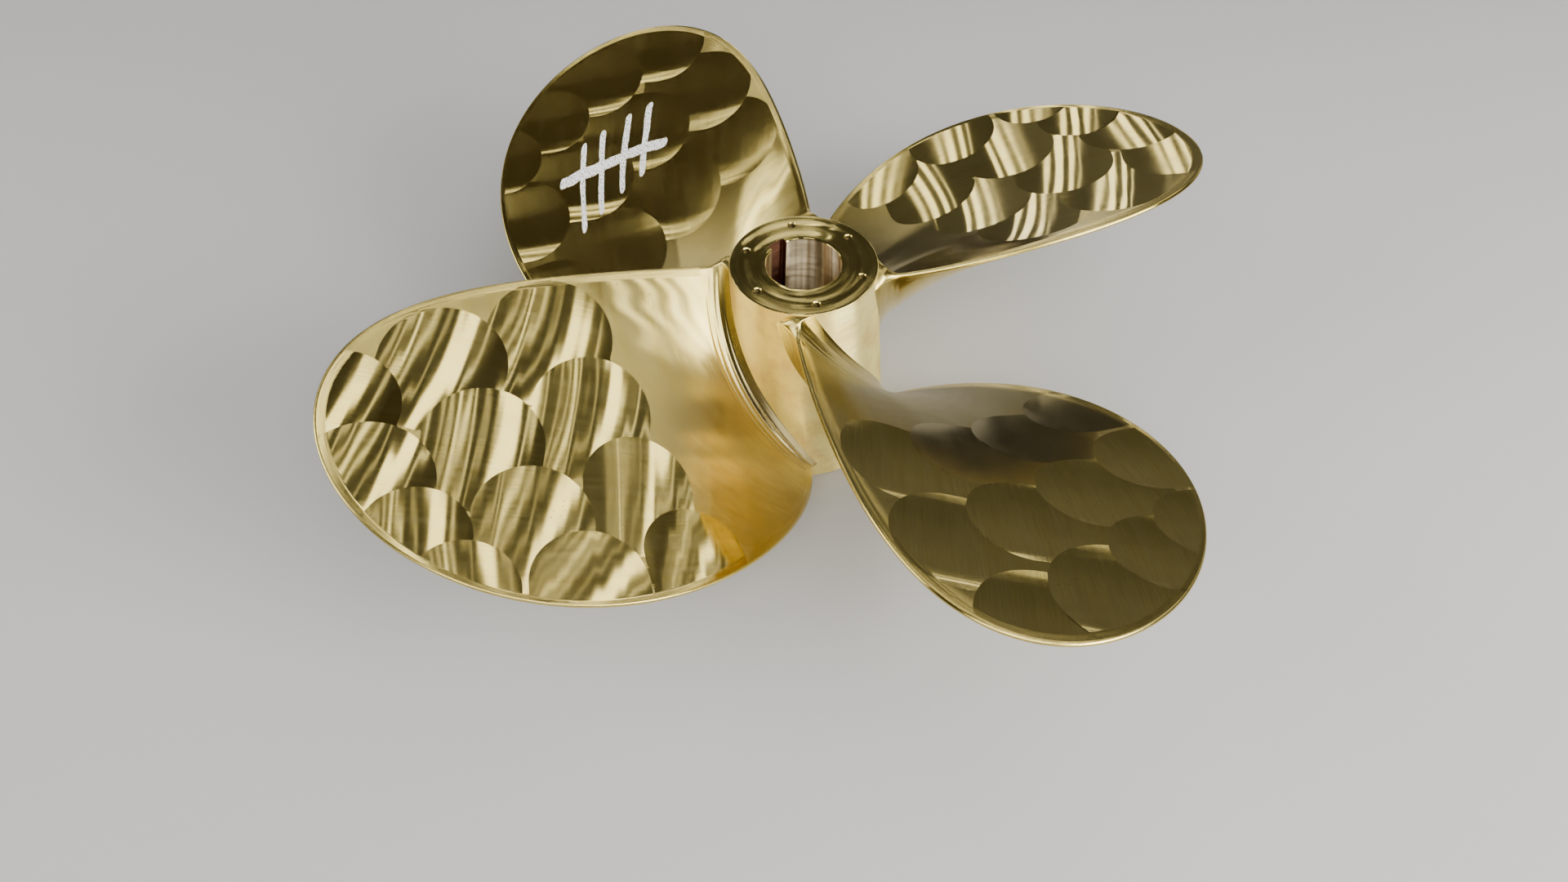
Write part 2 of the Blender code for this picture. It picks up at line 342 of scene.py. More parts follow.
def blade_limits(radius):
    """Where the leading and trailing edges lie along the helix at a radius."""
    u = span_fraction(radius)
    width = np.sqrt(1 - u**TIP_ROUNDING) * through(BLADE_WIDTH, u)
    middle = through(BLADE_SWEEP, u)
    return middle - width / 2, middle + width / 2


def blade_point(radius, along, above, hub_length):
    """A point on the cylinder of this radius, along the helix and above the pressure face."""
    u = span_fraction(radius)
    helix = np.arctan2(through(BLADE_PITCH, u), 2 * math.pi * radius)
    azimuth = (above * np.sin(helix) - along * np.cos(helix)) / radius
    z = hub_length + through(BLADE_RAKE, u) + along * np.sin(helix) + above * np.cos(helix)
    return np.stack([radius * np.cos(azimuth), radius * np.sin(azimuth), z], -1)


def flare(clearance, fillet):
    """How far a fillet of this radius stands off the blade, this far out from the hub."""
    rest = np.clip(fillet - clearance - FILLET_START, 0, fillet)
    return fillet - np.sqrt(fillet**2 - rest**2)


def hub_radius(z, hub):
    return hub.forward_radius + (hub.aft_radius - hub.forward_radius) * np.clip(z / hub.length, 0, 1)


def bore_radius(z, hub):
    return hub.bore_radius + hub.bore_taper / 2 * (hub.length - z)


def row_radii(blade, hub):
    """Nominal radii of the rows, close over the fillet and then even along the blade's outline."""
    mean = (hub.aft_radius + hub.forward_radius) / 2
    inner = np.linspace(mean - ROOT_DEPTH, mean + CLOSE_FILLETS * blade.face_fillet, blade.fillet_rows)
    start = math.asin(span_fraction(inner[-1]))
    end = TIP_RADIUS - blade.edge_thickness / 2
    radius = ROOT_RADIUS + np.sin(np.linspace(start, math.pi / 2, OUTLINE_STEPS)) * (end - ROOT_RADIUS)
    low, high = blade_limits(radius * TIP_RADIUS / end)
    steps = np.hypot(np.diff(radius), np.diff(low)) + np.hypot(np.diff(radius), np.diff(high))
    length = np.concatenate([[0], np.cumsum(steps)])
    outer = np.interp(np.linspace(0, length[-1], blade.rows + 1)[1:], length, radius)
    return np.concatenate([inner, outer])


def blade_section(nominal, place, blade, hub):
    """Radius, place along the helix, height of the face, depth to the back and clearance of the hub."""
    mean = (hub.aft_radius + hub.forward_radius) / 2
    fade = np.clip(1 - np.clip(nominal - mean, 0, None) / (FADE_FILLETS * blade.face_fillet), 0, 1)
    low, high = blade_limits(mean)
    height = blade_point(mean, (low + high) / 2 + place * (high - low) / 2, 0, hub.length)[..., 2]
    radius = nominal + fade * (hub_radius(height, hub) - mean)
    scaled = radius * TIP_RADIUS / (TIP_RADIUS - blade.edge_thickness / 2)
    low, high = blade_limits(scaled)
    u = span_fraction(scaled)
    clearance = radius - hub_radius(height, hub)
    half = (high - low) / 2 - blade.edge_thickness / 2 * (1 - u**RIM_POWER)
    at_edge = np.where(place > 0, blade.trailing_fillet, blade.edge_fillet)
    helix = np.arctan2(through(BLADE_PITCH, u), 2 * math.pi * radius)
    ceiling = (-FILLET_FACE_MARGIN - through(BLADE_RAKE, u)) / np.sin(helix)
    room = np.maximum(ceiling - blade.edge_thickness / 2 - (low + high) / 2 - half, 0)
    reach = flare(clearance, at_edge)
    half = half + np.where(place > 0, np.minimum(reach, room), reach)
    fullness = 1 - np.abs(place) ** FULLNESS_POWER
    above = flare(clearance, at_edge + (blade.face_fillet - at_edge) * fullness)
    thickest = blade.root_thickness + (blade.tip_thickness - blade.root_thickness) * u
    depth = blade.edge_thickness + (thickest - blade.edge_thickness) * fullness * (1 - u**TIP_POWER)
    return radius, (low + high) / 2 + place * half, above, depth, clearance


def waves(x, y, angle, spread, sizes, steepness, seed):
    """Height and slopes of shallow waves, whose crests lie across this angle, give or take a spread."""
    chance = np.random.default_rng(seed)
    height, over_x, over_y = 0, 0, 0
    for length, share_of_slope in sizes:
        slope = steepness * share_of_slope
        turned = angle + chance.uniform(-spread, spread)
        number_of_waves = 2 * math.pi / (length * chance.uniform(*LENGTH_SPREAD))
        phase = number_of_waves * (x * math.cos(turned) + y * math.sin(turned))
        phase = phase + chance.uniform(0, 2 * math.pi)
        height = height + slope / number_of_waves * np.sin(phase)
        over_x = over_x + slope * math.cos(turned) * np.cos(phase)
        over_y = over_y + slope * math.sin(turned) * np.cos(phase)
    return height, over_x, over_y


class Disc:
    """One buffed disc: its frame on the blade and the shallow dish that it leaves."""

    def __init__(self, blade_index, index, polish, hub):
        radius, along, self.size = DISCS[index]
        out, on, turn, self.curve, self.shear = DISC_SHIFTS[blade_index][index]
        self.turn = math.radians(turn)
        radius, along = radius + out / 1000, along + on / 1000
        self.seed = 100 * blade_index + index
        self.polish = polish
        near = [(0, 0), (FINE_STEP, 0), (0, FINE_STEP)]
        points = [blade_point(radius + a, along + b, 0, hub.length) for a, b in near]
        self.middle = points[0]
        steps = [point - self.middle for point in points[1:]]
        self.outwards = unit(steps[0])
        self.across = unit(steps[1] - (steps[1] @ self.outwards) * self.outwards)
        axes = (self.outwards, self.across)
        self.jacobian = np.array([[step @ axis / FINE_STEP for step in steps] for axis in axes])

    def local(self, points):
        """Places from the disc's middle, outwards and towards the trailing edge."""
        away = points - self.middle
        return away @ self.outwards, away @ self.across

    def gap(self, points):
        """Distance outside the ground area, which is round, but swept on towards the leading side."""
        x, y = self.local(points)
        round_gap = np.where(y > 0, np.hypot(x, y), np.abs(x)) - self.size
        return np.maximum(round_gap, -y - self.polish.sweep_length)

    def towards_arc(self, points):
        """Steps in radius and place that carry points onto the outline."""
        x, y = self.local(points)
        away = np.where(y > 0, np.hypot(x, y), np.abs(x))
        over_x = x / np.maximum(away, 1e-9)
        over_y = np.where(y > 0, y, 0) / np.maximum(away, 1e-9)
        move = np.stack([over_x, over_y]) * (self.size - away)
        return np.linalg.solve(self.jacobian, move)

    def dish(self, x, y):
        """Height and slopes of the ground surface: a shallow dish, lower at the hub side, with waves."""
        polish = self.polish
        height = polish.dish_curve * (x * x + y * y - self.size**2) / 2
        over_x = self.curve * x + self.shear * y + self.turn
        over_y = math.copysign(polish.chord_curve, self.curve) * y
        steepness = polish.wave_slope * min(1, abs(self.curve) / FULL_CURVE) ** 2
        wave, wave_x, wave_y = waves(x, y, polish.lean, DISC_SPREAD, DISC_WAVES, steepness, self.seed)
        towards_hub = (y * DIAGONAL - x * DIAGONAL) / self.size
        step = polish.arc_step * smooth_between(*STEP_SHARES, towards_hub)
        return height + wave - step, over_x + wave_x, over_y + wave_y


def outline_of(grids, first_row):
    """The blade's outline in radius and place, from the trailing root over the tip to the leading root."""
    radius, along = grids["radius"][first_row:], grids["along"][first_row:]
    trailing = np.stack([radius[:, -1], along[:, -1]], -1)
    leading = np.stack([radius[:, 0], along[:, 0]], -1)
    return np.concatenate([trailing, leading[-2::-1]])


def edge_distance(grids, outline):
    """Distance of each place from the outline, and how far along the outline the nearest point is."""
    places = np.stack([grids["radius"].ravel(), grids["along"].ravel()], -1)
    length = np.concatenate([[0], np.cumsum(np.linalg.norm(np.diff(outline, axis=0), axis=1))])
    best, nearest = np.empty(len(places)), np.empty(len(places), int)
    for start in range(0, len(places), BATCH):
        batch = slice(start, start + BATCH)
        gap = ((places[batch, None] - outline[None]) ** 2).sum(-1)
        nearest[batch] = gap.argmin(1)
        best[batch] = np.sqrt(gap.min(1))
    shape = grids["radius"].shape
    return best.reshape(shape), length[nearest].reshape(shape)


def snap_to_arcs(radius, along, discs, hub):
    """Moves points of the grid onto the visible arcs, and says which faces an arc cuts across."""
    for index, disc in enumerate(discs):
        points = blade_point(radius, along, 0, hub.length)
        gap = disc.gap(points)
        near = np.zeros(gap.shape, bool)
        for here, there in ((gap, near), (gap.T, near.T)):
            first, second = here[:-1], here[1:]
            crossing = first * second < 0
            share_of_gap = np.abs(first) / np.maximum(np.abs(first) + np.abs(second), 1e-9)
            there[:-1][crossing & (share_of_gap < 0.5)] = True
            there[1:][crossing & (share_of_gap >= 0.5)] = True
        near &= disc.local(points)[1] > -disc.polish.sweep_length * SNAPPED_SWEEP
        for later in discs[index + 1 :]:
            near &= later.gap(points) > 0
        near[:, :2] = near[:, -2:] = False
        near[-3:] = False
        for _ in range(2):
            step = disc.towards_arc(blade_point(radius[near], along[near], 0, hub.length))
            radius[near] += step[0]
            along[near] += step[1]
    points = blade_point(radius, along, 0, hub.length)
    cuts = np.zeros((len(radius) - 1, radius.shape[1] - 1), int)
    for index, disc in enumerate(discs):
        gap = disc.gap(points)
        hidden = np.zeros(gap.shape, bool)
        for later in discs[index + 1 :]:
            hidden |= later.gap(points) < -ON_ARC
        on = (np.abs(gap) < ON_ARC) & ~hidden
        (on_a, on_b, on_c, on_d), (a, b, c, d) = grid_corners(on), grid_corners(gap)
        cuts[on_a & on_c & (b * d < 0)] = 1
        cuts[on_b & on_d & (a * c < 0)] = 2
    return cuts


def grid_corners(grid):
    """The grid's values at the four corners of each of its faces."""
    return grid[:-1, :-1], grid[:-1, 1:], grid[1:, 1:], grid[1:, :-1]


def rim_normals(outline):
    step = np.gradient(outline, axis=0)
    return unit(np.stack([-step[:, 1], step[:, 0]], -1))


def split_face(face, cut):
    """A face of the grid as it is, or in two along the arc that cuts it, or as a triangle at the tip."""
    a, b, c, d = face
    if c == d:
        return [[a, b, c]]
    if cut == 1:
        return [[a, b, c], [a, c, d]]
    if cut == 2:
        return [[a, b, d], [b, c, d]]
    return [face]


def ring_faces(rows, front, back, rim, front_cuts, back_cuts):
    """Faces of the blade's shell and its root cap, over a grid of rings, and the part each lies on."""
    ring = front + back + 2 * rim
    index = np.arange(rows * ring).reshape(rows, ring)
    trailing = slice(front, front + rim)
    behind = slice(front + rim, front + rim + back)
    leading = slice(front + rim + back, ring)
    last = index[-1]
    last[:front] = last[0]
    last[behind] = last[front + rim]
    last[leading] = last[trailing][::-1]
    following = np.roll(index, -1, axis=1)
    quads = np.stack([index[:-1], following[:-1], following[1:], index[1:]], -1)
    parts, cuts = np.full((rows - 1, ring), RIM), np.zeros((rows - 1, ring), int)
    inner = slice(behind.start, behind.stop - 1)
    parts[:, : front - 1] = FRONT
    parts[:, inner] = BACK
    cuts[:, : front - 1] = front_cuts
    cuts[:, inner] = np.array([0, 2, 1])[back_cuts[:, ::-1]]
    faces, part_of = [], []
    lists = [grid.tolist() for grid in (quads.reshape(-1, 4), parts.ravel(), cuts.ravel())]
    for face, part, cut in zip(*lists):
        made = split_face(face, cut)
        faces += made
        part_of += [part] * len(made)
    root = index[0]
    far = root[behind][::-1]
    for i in range(back - 1):
        faces.append([root[2 * i + 1], root[2 * i], far[i]])
        faces.append([root[2 * i + 2], root[2 * i + 1], far[i], far[i + 1]])
    faces.append([root[0], *root[leading][::-1], far[0]])
    faces.append([far[-1], *root[trailing][::-1], root[front - 1]])
    return faces, np.array(part_of + [RIM] * (len(faces) - len(part_of)))


def vertex_normals(points, faces):
    """Smooth normals of the mesh's points, weighted by area."""
    triangles = np.array([[f[0], f[i], f[i + 1]] for f in faces for i in range(1, len(f) - 1)])
    a, b, c = (points[triangles[:, i]] for i in range(3))
    area = np.cross(b - a, c - a)
    sums = [np.bincount(triangles.ravel(), np.repeat(area[:, k], 3), len(points)) for k in range(3)]
    total = np.stack(sums, -1)
    return total / np.maximum(np.linalg.norm(total, axis=1, keepdims=True), 1e-12)


def owners_of(points, discs, margin):
    """Index of the disc that was ground last over each point, or -1."""
    owner = np.full(len(points), -1)
    for index, disc in enumerate(discs):
        owner[disc.gap(points) < -margin] = index
    return owner


def surface_relief(points, values, owner, discs, polish, seed):
    """Height and slope vectors of the finish at each point: the dishes, and waves between them."""
    height = np.zeros(len(points))
    slope = np.zeros((len(points), 3))
    quiet = smooth_between(*(polish.rim_band * share for share in RIM_FADE), values["edge"])
    for index, disc in enumerate(discs):
        inside = owner == index
        rise, over_x, over_y = disc.dish(*disc.local(points[inside]))
        height[inside] = rise * quiet[inside]
        turn = over_x[:, None] * disc.outwards + over_y[:, None] * disc.across
        slope[inside] = turn * quiet[inside][:, None]
    free = owner == -1
    places = (values["radius"], values["along"])
    rise, over_x, over_y = waves(*places, math.pi / 2, ROOT_SPREAD, ROOT_WAVES, 1, seed)
    calm = quiet * smooth_between(*WAVE_CLEARANCE, values["clearance"])
    height[free] = (rise * calm)[free]
    turn = over_x[:, None] * discs[0].outwards + over_y[:, None] * discs[0].across
    slope[free] = (turn * calm[:, None])[free]
    return height, slope


def blade_shell(discs, blade, polish, hub):
    """Points, faces, the faces' parts and the points' values of one blade, at azimuth 0."""
    place = np.linspace(-1, 1, blade.columns + 1)[None]
    section = blade_section(row_radii(blade, hub)[:, None], place, blade, hub)
    front = dict(zip(("radius", "along", "above", "depth", "clearance"), section))
    normals = rim_normals(outline_of(front, 0))
    front["edge"], front["around"] = edge_distance(front, outline_of(front, blade.fillet_rows))
    back = {name: grid[:, ::2].copy() for name, grid in front.items()}
    cuts = [snap_to_arcs(grids["radius"], grids["along"], discs, hub) for grids in (front, back)]
    radius, along, above, depth, clearance = section
    rows, rim = len(radius), blade.rim_steps - 1
    ridge = polish.ridge_height * np.sin(2 * math.pi * clearance / polish.ridge_spacing)
    ridge = ridge * smooth_between(*RIDGES_FROM, clearance) * smooth_between(*RIDGES_TO, clearance)
    ridge = ridge * smooth_between(*RIDGE_EDGES, 1 - np.abs(place))
    low = -back["depth"] - back["above"] - ridge[:, ::2] * BACK_RIDGE
    turns = np.linspace(0, math.pi, blade.rim_steps + 1)[1:-1]
    rims = []
    for end, normal in ((-1, normals[:rows]), (0, normals[::-1][:rows])):
        reach = blade.edge_thickness / 2 * np.sin(turns)[None, :, None] * normal[:, None]
        lift = depth[:, end, None] / 2 + above[:, end, None]
        rise = lift * np.cos(turns)[None] - depth[:, end, None] / 2
        out, on = radius[:, end, None] + reach[..., 0], along[:, end, None] + reach[..., 1]
        rims.append(blade_point(out, on, rise, hub.length))
    points = np.concatenate(
        [
            blade_point(radius, along, above + ridge, hub.length),
            rims[0],
            blade_point(back["radius"], back["along"], low, hub.length)[:, ::-1],
            rims[1][:, ::-1],
        ],
        axis=1,
    )
    near = np.hypot(points[..., 0], points[..., 1]) < hub.aft_radius + blade.face_fillet
    ceiling = hub.length - FILLET_FACE_MARGIN
    points[..., 2] = np.where(near, np.minimum(points[..., 2], ceiling), points[..., 2])
    values = {}
    for name in ("radius", "along", "clearance", "edge", "around"):
        sides = [np.repeat(front[name][:, end, None], rim, 1) * (name != "edge") for end in (-1, 0)]
        rings = [front[name], sides[0], back[name][:, ::-1], sides[1]]
        values[name] = np.concatenate(rings, axis=1).ravel()
    faces, parts = ring_faces(rows, radius.shape[1], back["radius"].shape[1], rim, *cuts)
    return points.reshape(-1, 3), faces, parts, values


class Shell:
    """A blade's mesh at azimuth 0 as arrays over its points, its faces and its faces' corners."""

    def __init__(self, discs, blade, polish, hub):
        points, faces, self.parts, values = blade_shell(discs, blade, polish, hub)
        used, packed = np.unique(np.concatenate(faces), return_inverse=True)
        self.sizes = np.array([len(face) for face in faces])
        self.corners = packed.astype(int)
        self.faces = [face.tolist() for face in np.split(self.corners, np.cumsum(self.sizes)[:-1])]
        self.face_of = np.repeat(np.arange(len(faces)), self.sizes)
        self.points = points[used]
        self.values = {name: value[used] for name, value in values.items()}
        self.corner_values = {name: value[self.corners] for name, value in self.values.items()}
        self.normals = vertex_normals(self.points, self.faces)
        centre = np.stack([self.face_mean(self.points[self.corners, k]) for k in range(3)], -1)
        self.owner = owners_of(centre, discs, 0)
        self.clearance = self.face_mean(self.corner_values["clearance"])
        self.edge = self.face_mean(self.corner_values["edge"])
        self.owner[(self.parts == RIM) | (self.clearance < DISC_CLEARANCE)] = -1

    def face_mean(self, at_corners):
        return np.bincount(self.face_of, at_corners) / self.sizes

    def raised(self, discs, polish, seed):
        """The points, moved out and in by the dishes and waves."""
        owner = owners_of(self.points, discs, POINT_MARGIN)
        rise, _ = surface_relief(self.points, self.values, owner, discs, polish, seed)
        on_rim = np.ones(len(rise), bool)
        on_rim[self.corners[(self.parts != RIM)[self.face_of]]] = False
        rise[on_rim] = 0
        rise *= smooth_between(*RISE_CLEARANCE, self.values["clearance"])
        return self.points + self.normals * rise[:, None]

    def corner_normals(self, discs, polish, seed):
        """Exact normals of the dishes and waves, with their creases."""
        owner = self.owner[self.face_of]
        places = self.points[self.corners]
        _, slope = surface_relief(places, self.corner_values, owner, discs, polish, seed)
        slope *= (self.parts != RIM)[self.face_of][:, None]
        slope *= smooth_between(*SLOPE_CLEARANCE, self.corner_values["clearance"])[:, None]
        normals = self.normals[self.corners]
        slope -= (slope * normals).sum(1, keepdims=True) * normals
        return unit(normals - slope)

    def brush_map(self, discs, polish):
        """Brush map: U lies across the scratches, in decimetres, and V along them."""
        values, rim_face = self.corner_values, self.parts == RIM
        places = self.points[self.corners]
        brush = np.stack([values["radius"], values["along"]], -1) * BRUSH_SCALE
        a, b = math.cos(polish.lean), math.sin(polish.lean)
        for index, disc in enumerate(discs):
            inside = self.owner[self.face_of] == index
            x, y = disc.local(places[inside])
            brush[inside] = np.stack([y * a - x * b, x * a + y * b], -1) * BRUSH_SCALE
            brush[inside] += DISC_MAP_SHIFT * (index + 1)
        rim = ((self.edge < polish.rim_band) | rim_face)[self.face_of]
        rim &= values["clearance"] > RIM_CLEARANCE
        brush[rim] = np.stack([values["edge"], values["around"]], -1)[rim] * BRUSH_SCALE
        flat = rim_face[self.face_of]
        brush[flat] = np.stack([places[:, 2], values["around"]], -1)[flat] * BRUSH_SCALE
        return brush

    def plan_map(self):
        """Plan map for the chalk: radius and place on the face, and far away on the other parts."""
        plan = np.stack([self.corner_values["radius"], self.corner_values["along"]], -1)
        plan[(self.parts != FRONT)[self.face_of]] += FAR_AWAY
        return plan

    def warmth(self):
        """How far the ochre of the leading root reaches."""
        radius = self.values["radius"]
        place = (self.values["along"] - blade_limits(radius)[0]) / WARM_WIDTH
        return smooth_between(*WARM_RADII, radius) * smooth_between(*WARM_SHARES, place)

    def painted_shade(self, free, darker_discs, polish):
        """How much painted shade each face gets, standing in for a dark reflection: between the discs and
        the hub, and on the darker discs.
        """
        shaded = free * smooth_between(*PAINTED_SHADE_CLEARANCE, self.clearance)
        shaded = np.where(self.owner == -1, shaded, 0)
        shaded[np.isin(self.owner, darker_discs)] = free
        inside = smooth_between(polish.rim_band, polish.rim_band + PAINTED_SHADE_FADE, self.edge)
        return shaded * ((self.parts == FRONT) * inside)


def finished_blade(blade_index, blade, polish, hub):
    """Mesh of one blade with its dishes, corner normals, brush directions, tints and painted shade."""
    discs = [Disc(blade_index, index, polish, hub) for index in range(len(DISCS))]
    shell = Shell(discs, blade, polish, hub)
    seed = ROOT_SEED + blade_index
    turn = math.radians(90 * blade_index)
    rotation = np.array(
        [[math.cos(turn), math.sin(turn), 0], [-math.sin(turn), math.cos(turn), 0], [0, 0, 1]]
    )
    points = shell.raised(discs, polish, seed) @ rotation
    mesh = bpy.data.meshes.new(f"blade_{blade_index + 1}")
    mesh.from_pydata(np.clip(points, *np.array(CAD_BOX)).tolist(), [], shell.faces)
    mesh.shade_smooth()
    add_uv_map(mesh, "brush", shell.brush_map(discs, polish))
    add_uv_map(mesh, "plan", shell.plan_map())
    mesh.uv_layers.active = mesh.uv_layers["brush"]
    add_attribute(mesh, "warmth", shell.warmth())
    add_attribute(mesh, "buffed", shell.owner >= 0, "FACE")
    # painted shade: a darker olive standing in for the dark floor that these faces mirror
    add_attribute(mesh, "painted_shade", shell.painted_shade(*PAINTED_SHADE[blade_index], polish), "FACE")
    mesh.normals_split_custom_set((shell.corner_normals(discs, polish, seed) @ rotation).tolist())
    return mesh


def add_uv_map(mesh, name, places):
    mesh.uv_layers.new(name=name).data.foreach_set("uv", np.asarray(places, np.float32).ravel())


def add_attribute(mesh, name, values, domain="POINT"):
    attribute = mesh.attributes.new(name, "FLOAT", domain)
    attribute.data.foreach_set("value", np.asarray(values, np.float32))


def add_piece(name, data, material=None):
    piece = bpy.data.objects.new(name, data)
    bpy.context.scene.collection.objects.link(piece)
    if material:
        data.materials.append(material)
    return piece


def settle(piece):
    """Makes a finished piece ride on the casting's body and stand for the casting."""
    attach(piece, "root")
    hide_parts(NODE)


def plain_mesh_of(target):
    """The evaluated mesh of an object, after which the object and its own mesh are removed."""
    bpy.context.view_layer.update()
    graph = bpy.context.evaluated_depsgraph_get()
    mesh = bpy.data.meshes.new_from_object(target.evaluated_get(graph))
    old = target.data
    bpy.data.objects.remove(target)
    bpy.data.meshes.remove(old)
    return mesh


def rounded(corner, before, after, size):
    """Points of a small round at a corner of a profile."""
    corner, before, after = (np.array(p, float) for p in (corner, before, after))
    start = corner + unit(before - corner) * size
    end = corner + unit(after - corner) * size
    shares = np.linspace(0, 1, ROUND_STEPS + 1)[:, None]
    return (1 - shares) ** 2 * start + 2 * shares * (1 - shares) * corner + shares**2 * end


def hub_profile(hub):
    """The turned profile: outside, faces and taper bore, with each corner broken by a small round."""
    corners = (
        (hub.aft_radius, hub.length),
        (hub.forward_radius, 0),
        (bore_radius(0, hub), 0),
        (bore_radius(hub.length, hub), hub.length),
    )
    outline = []
    for i, (corner, size_of_round) in enumerate(zip(corners, HUB_ROUNDS)):
        outline.extend(rounded(corner, corners[i - 1], corners[(i + 1) % 4], size_of_round).tolist())
    return outline


def turned_object(name, outline, sides, closed=False):
    """An object whose profile, in the plane of X and Z, is turned round the Z axis."""
    mesh = bpy.data.meshes.new(name)
    edges = [(i, i + 1) for i in range(len(outline) - 1)]
    if closed:
        edges.append((len(outline) - 1, 0))
    mesh.from_pydata([(x, 0, z) for x, z in outline], edges, [])
    target = add_piece(name, mesh)
    screw = target.modifiers.new("turn", "SCREW")
    screw.steps = screw.render_steps = sides
    screw.use_merge_vertices = True
    screw.merge_threshold = 1e-6
    return target


def keyway_cutter(hub):
    """A bar along the taper bore's wall with rounded bottom corners."""
    azimuth = math.radians(hub.keyway_azimuth)
    tilt = math.atan(hub.bore_taper / 2)
    inward = hub.bore_radius / 2
    shape = bmesh.new()
    bmesh.ops.create_cube(shape, size=1)
    sizes = (hub.keyway_depth + inward, hub.keyway_width, hub.length / math.cos(tilt) + 2 * CUTTER_OVERRUN)
    bmesh.ops.scale(shape, verts=shape.verts, vec=sizes)
    outer = [edge for edge in shape.edges if all(corner.co.x > 0 for corner in edge.verts)]
    upright = [edge for edge in outer if edge.calc_length() > hub.length]
    bmesh.ops.bevel(shape, geom=upright, offset=KEYWAY_ROUND, segments=3, affect="EDGES")
    mesh = bpy.data.meshes.new("keyway_cutter")
    shape.to_mesh(mesh)
    shape.free()
    cutter = add_piece("keyway_cutter", mesh)
    middle = bore_radius(hub.length / 2, hub) + (hub.keyway_depth - inward) / 2
    cutter.location = (middle * math.cos(azimuth), middle * math.sin(azimuth), hub.length / 2)
    cutter.rotation_euler = (0, -tilt, azimuth)
    return cutter


def hole_cutters(hub):
    """Drills with a chamfer and a pointed tip, set round the hole circle."""
    tip = hub.hole_radius / math.tan(DRILL_TIP)
    mouth = hub.hole_radius + HOLE_CHAMFER
    outline = (
        (0, CUTTER_OVERRUN), (mouth, CUTTER_OVERRUN), (mouth, 0), (hub.hole_radius, -HOLE_CHAMFER),
        (hub.hole_radius, -hub.hole_depth), (0, -hub.hole_depth - tip),
    )
    cutters = []
    for i in range(hub.hole_count):
        azimuth = math.radians(hub.keyway_azimuth) + 2 * math.pi * (i + 0.5) / hub.hole_count
        cutter = turned_object(f"hole_cutter_{i}", outline, HOLE_SIDES)
        x, y = hub.hole_circle * math.cos(azimuth), hub.hole_circle * math.sin(azimuth)
        cutter.location = (x, y, hub.length)
        cutters.append(cutter)
    return cutters


def hub_mesh(hub):
    """The hub with its bore, keyway and holes cut, exact normals, a brush map and marks for materials."""
    body = turned_object("hub_body", hub_profile(hub), hub.sides, closed=True)
    cutters = [keyway_cutter(hub)] + hole_cutters(hub)
    group = bpy.data.collections.new("hub_cutters")
    for cutter in cutters:
        group.objects.link(cutter)
    cut = body.modifiers.new("cut", "BOOLEAN")
    cut.operation = "DIFFERENCE"
    cut.operand_type = "COLLECTION"
    cut.collection = group
    cut.solver = "EXACT"
    mesh = plain_mesh_of(body)
    for cutter in cutters:
        bpy.data.objects.remove(cutter)
    bpy.data.collections.remove(group)
    mesh.name = "hub"
    dress_hub_mesh(mesh, hub)
    return mesh


def dress_hub_mesh(mesh, hub):
    """Exact normals on the turned faces, the brush map round the axis, and marks on the recesses, which get
    painted shade, and on the bore.
    """
    outside_slope = (hub.forward_radius - hub.aft_radius) / hub.length
    normals, brush, shaded_recess, bored = [], [], [], []
    for face in mesh.polygons:
        centre, facing = face.center, face.normal
        middle = math.atan2(centre.y, centre.x)
        radius = math.hypot(centre.x, centre.y)
        inner = bore_radius(centre.z, hub)
        radial = (facing.x * centre.x + facing.y * centre.y) / radius
        level = abs(facing.z) > LEVEL
        sign, slope = 0, 0
        if radial > RADIAL and radius > hub.aft_radius - OUTSIDE_MARGIN:
            sign, slope = 1, outside_slope
        if radial < -RADIAL and radius < inner + WALL_MARGIN:
            sign, slope = -1, hub.bore_taper / 2
        deep = centre.z < hub.length - HOLE_CHAMFER
        in_hole = deep and abs(radius - hub.hole_circle) < hub.hole_radius + WALL_MARGIN
        bottom = inner + hub.keyway_depth + WALL_MARGIN
        in_keyway = inner + KEYWAY_FROM < radius < bottom and not level
        bored.append(sign < 0)
        shaded_recess.append(in_keyway or in_hole)
        for corner in face.vertices:
            x, y, z = mesh.vertices[corner].co
            azimuth = middle + (math.atan2(y, x) - middle + math.pi) % (2 * math.pi) - math.pi
            turned = (sign * math.cos(azimuth), sign * math.sin(azimuth), slope)
            normals.append(np.array(turned) / math.hypot(1, slope) if sign else facing)
            across = math.hypot(x, y) if level else z
            brush.append((across * BRUSH_SCALE, azimuth if level else azimuth + WALL_MAP_SHIFT))
    mesh.shade_smooth()
    add_uv_map(mesh, "brush", brush)
    add_attribute(mesh, "shaded_recess", shaded_recess, "FACE")
    add_attribute(mesh, "bored", bored, "FACE")
    mesh.normals_split_custom_set([tuple(normal) for normal in normals])


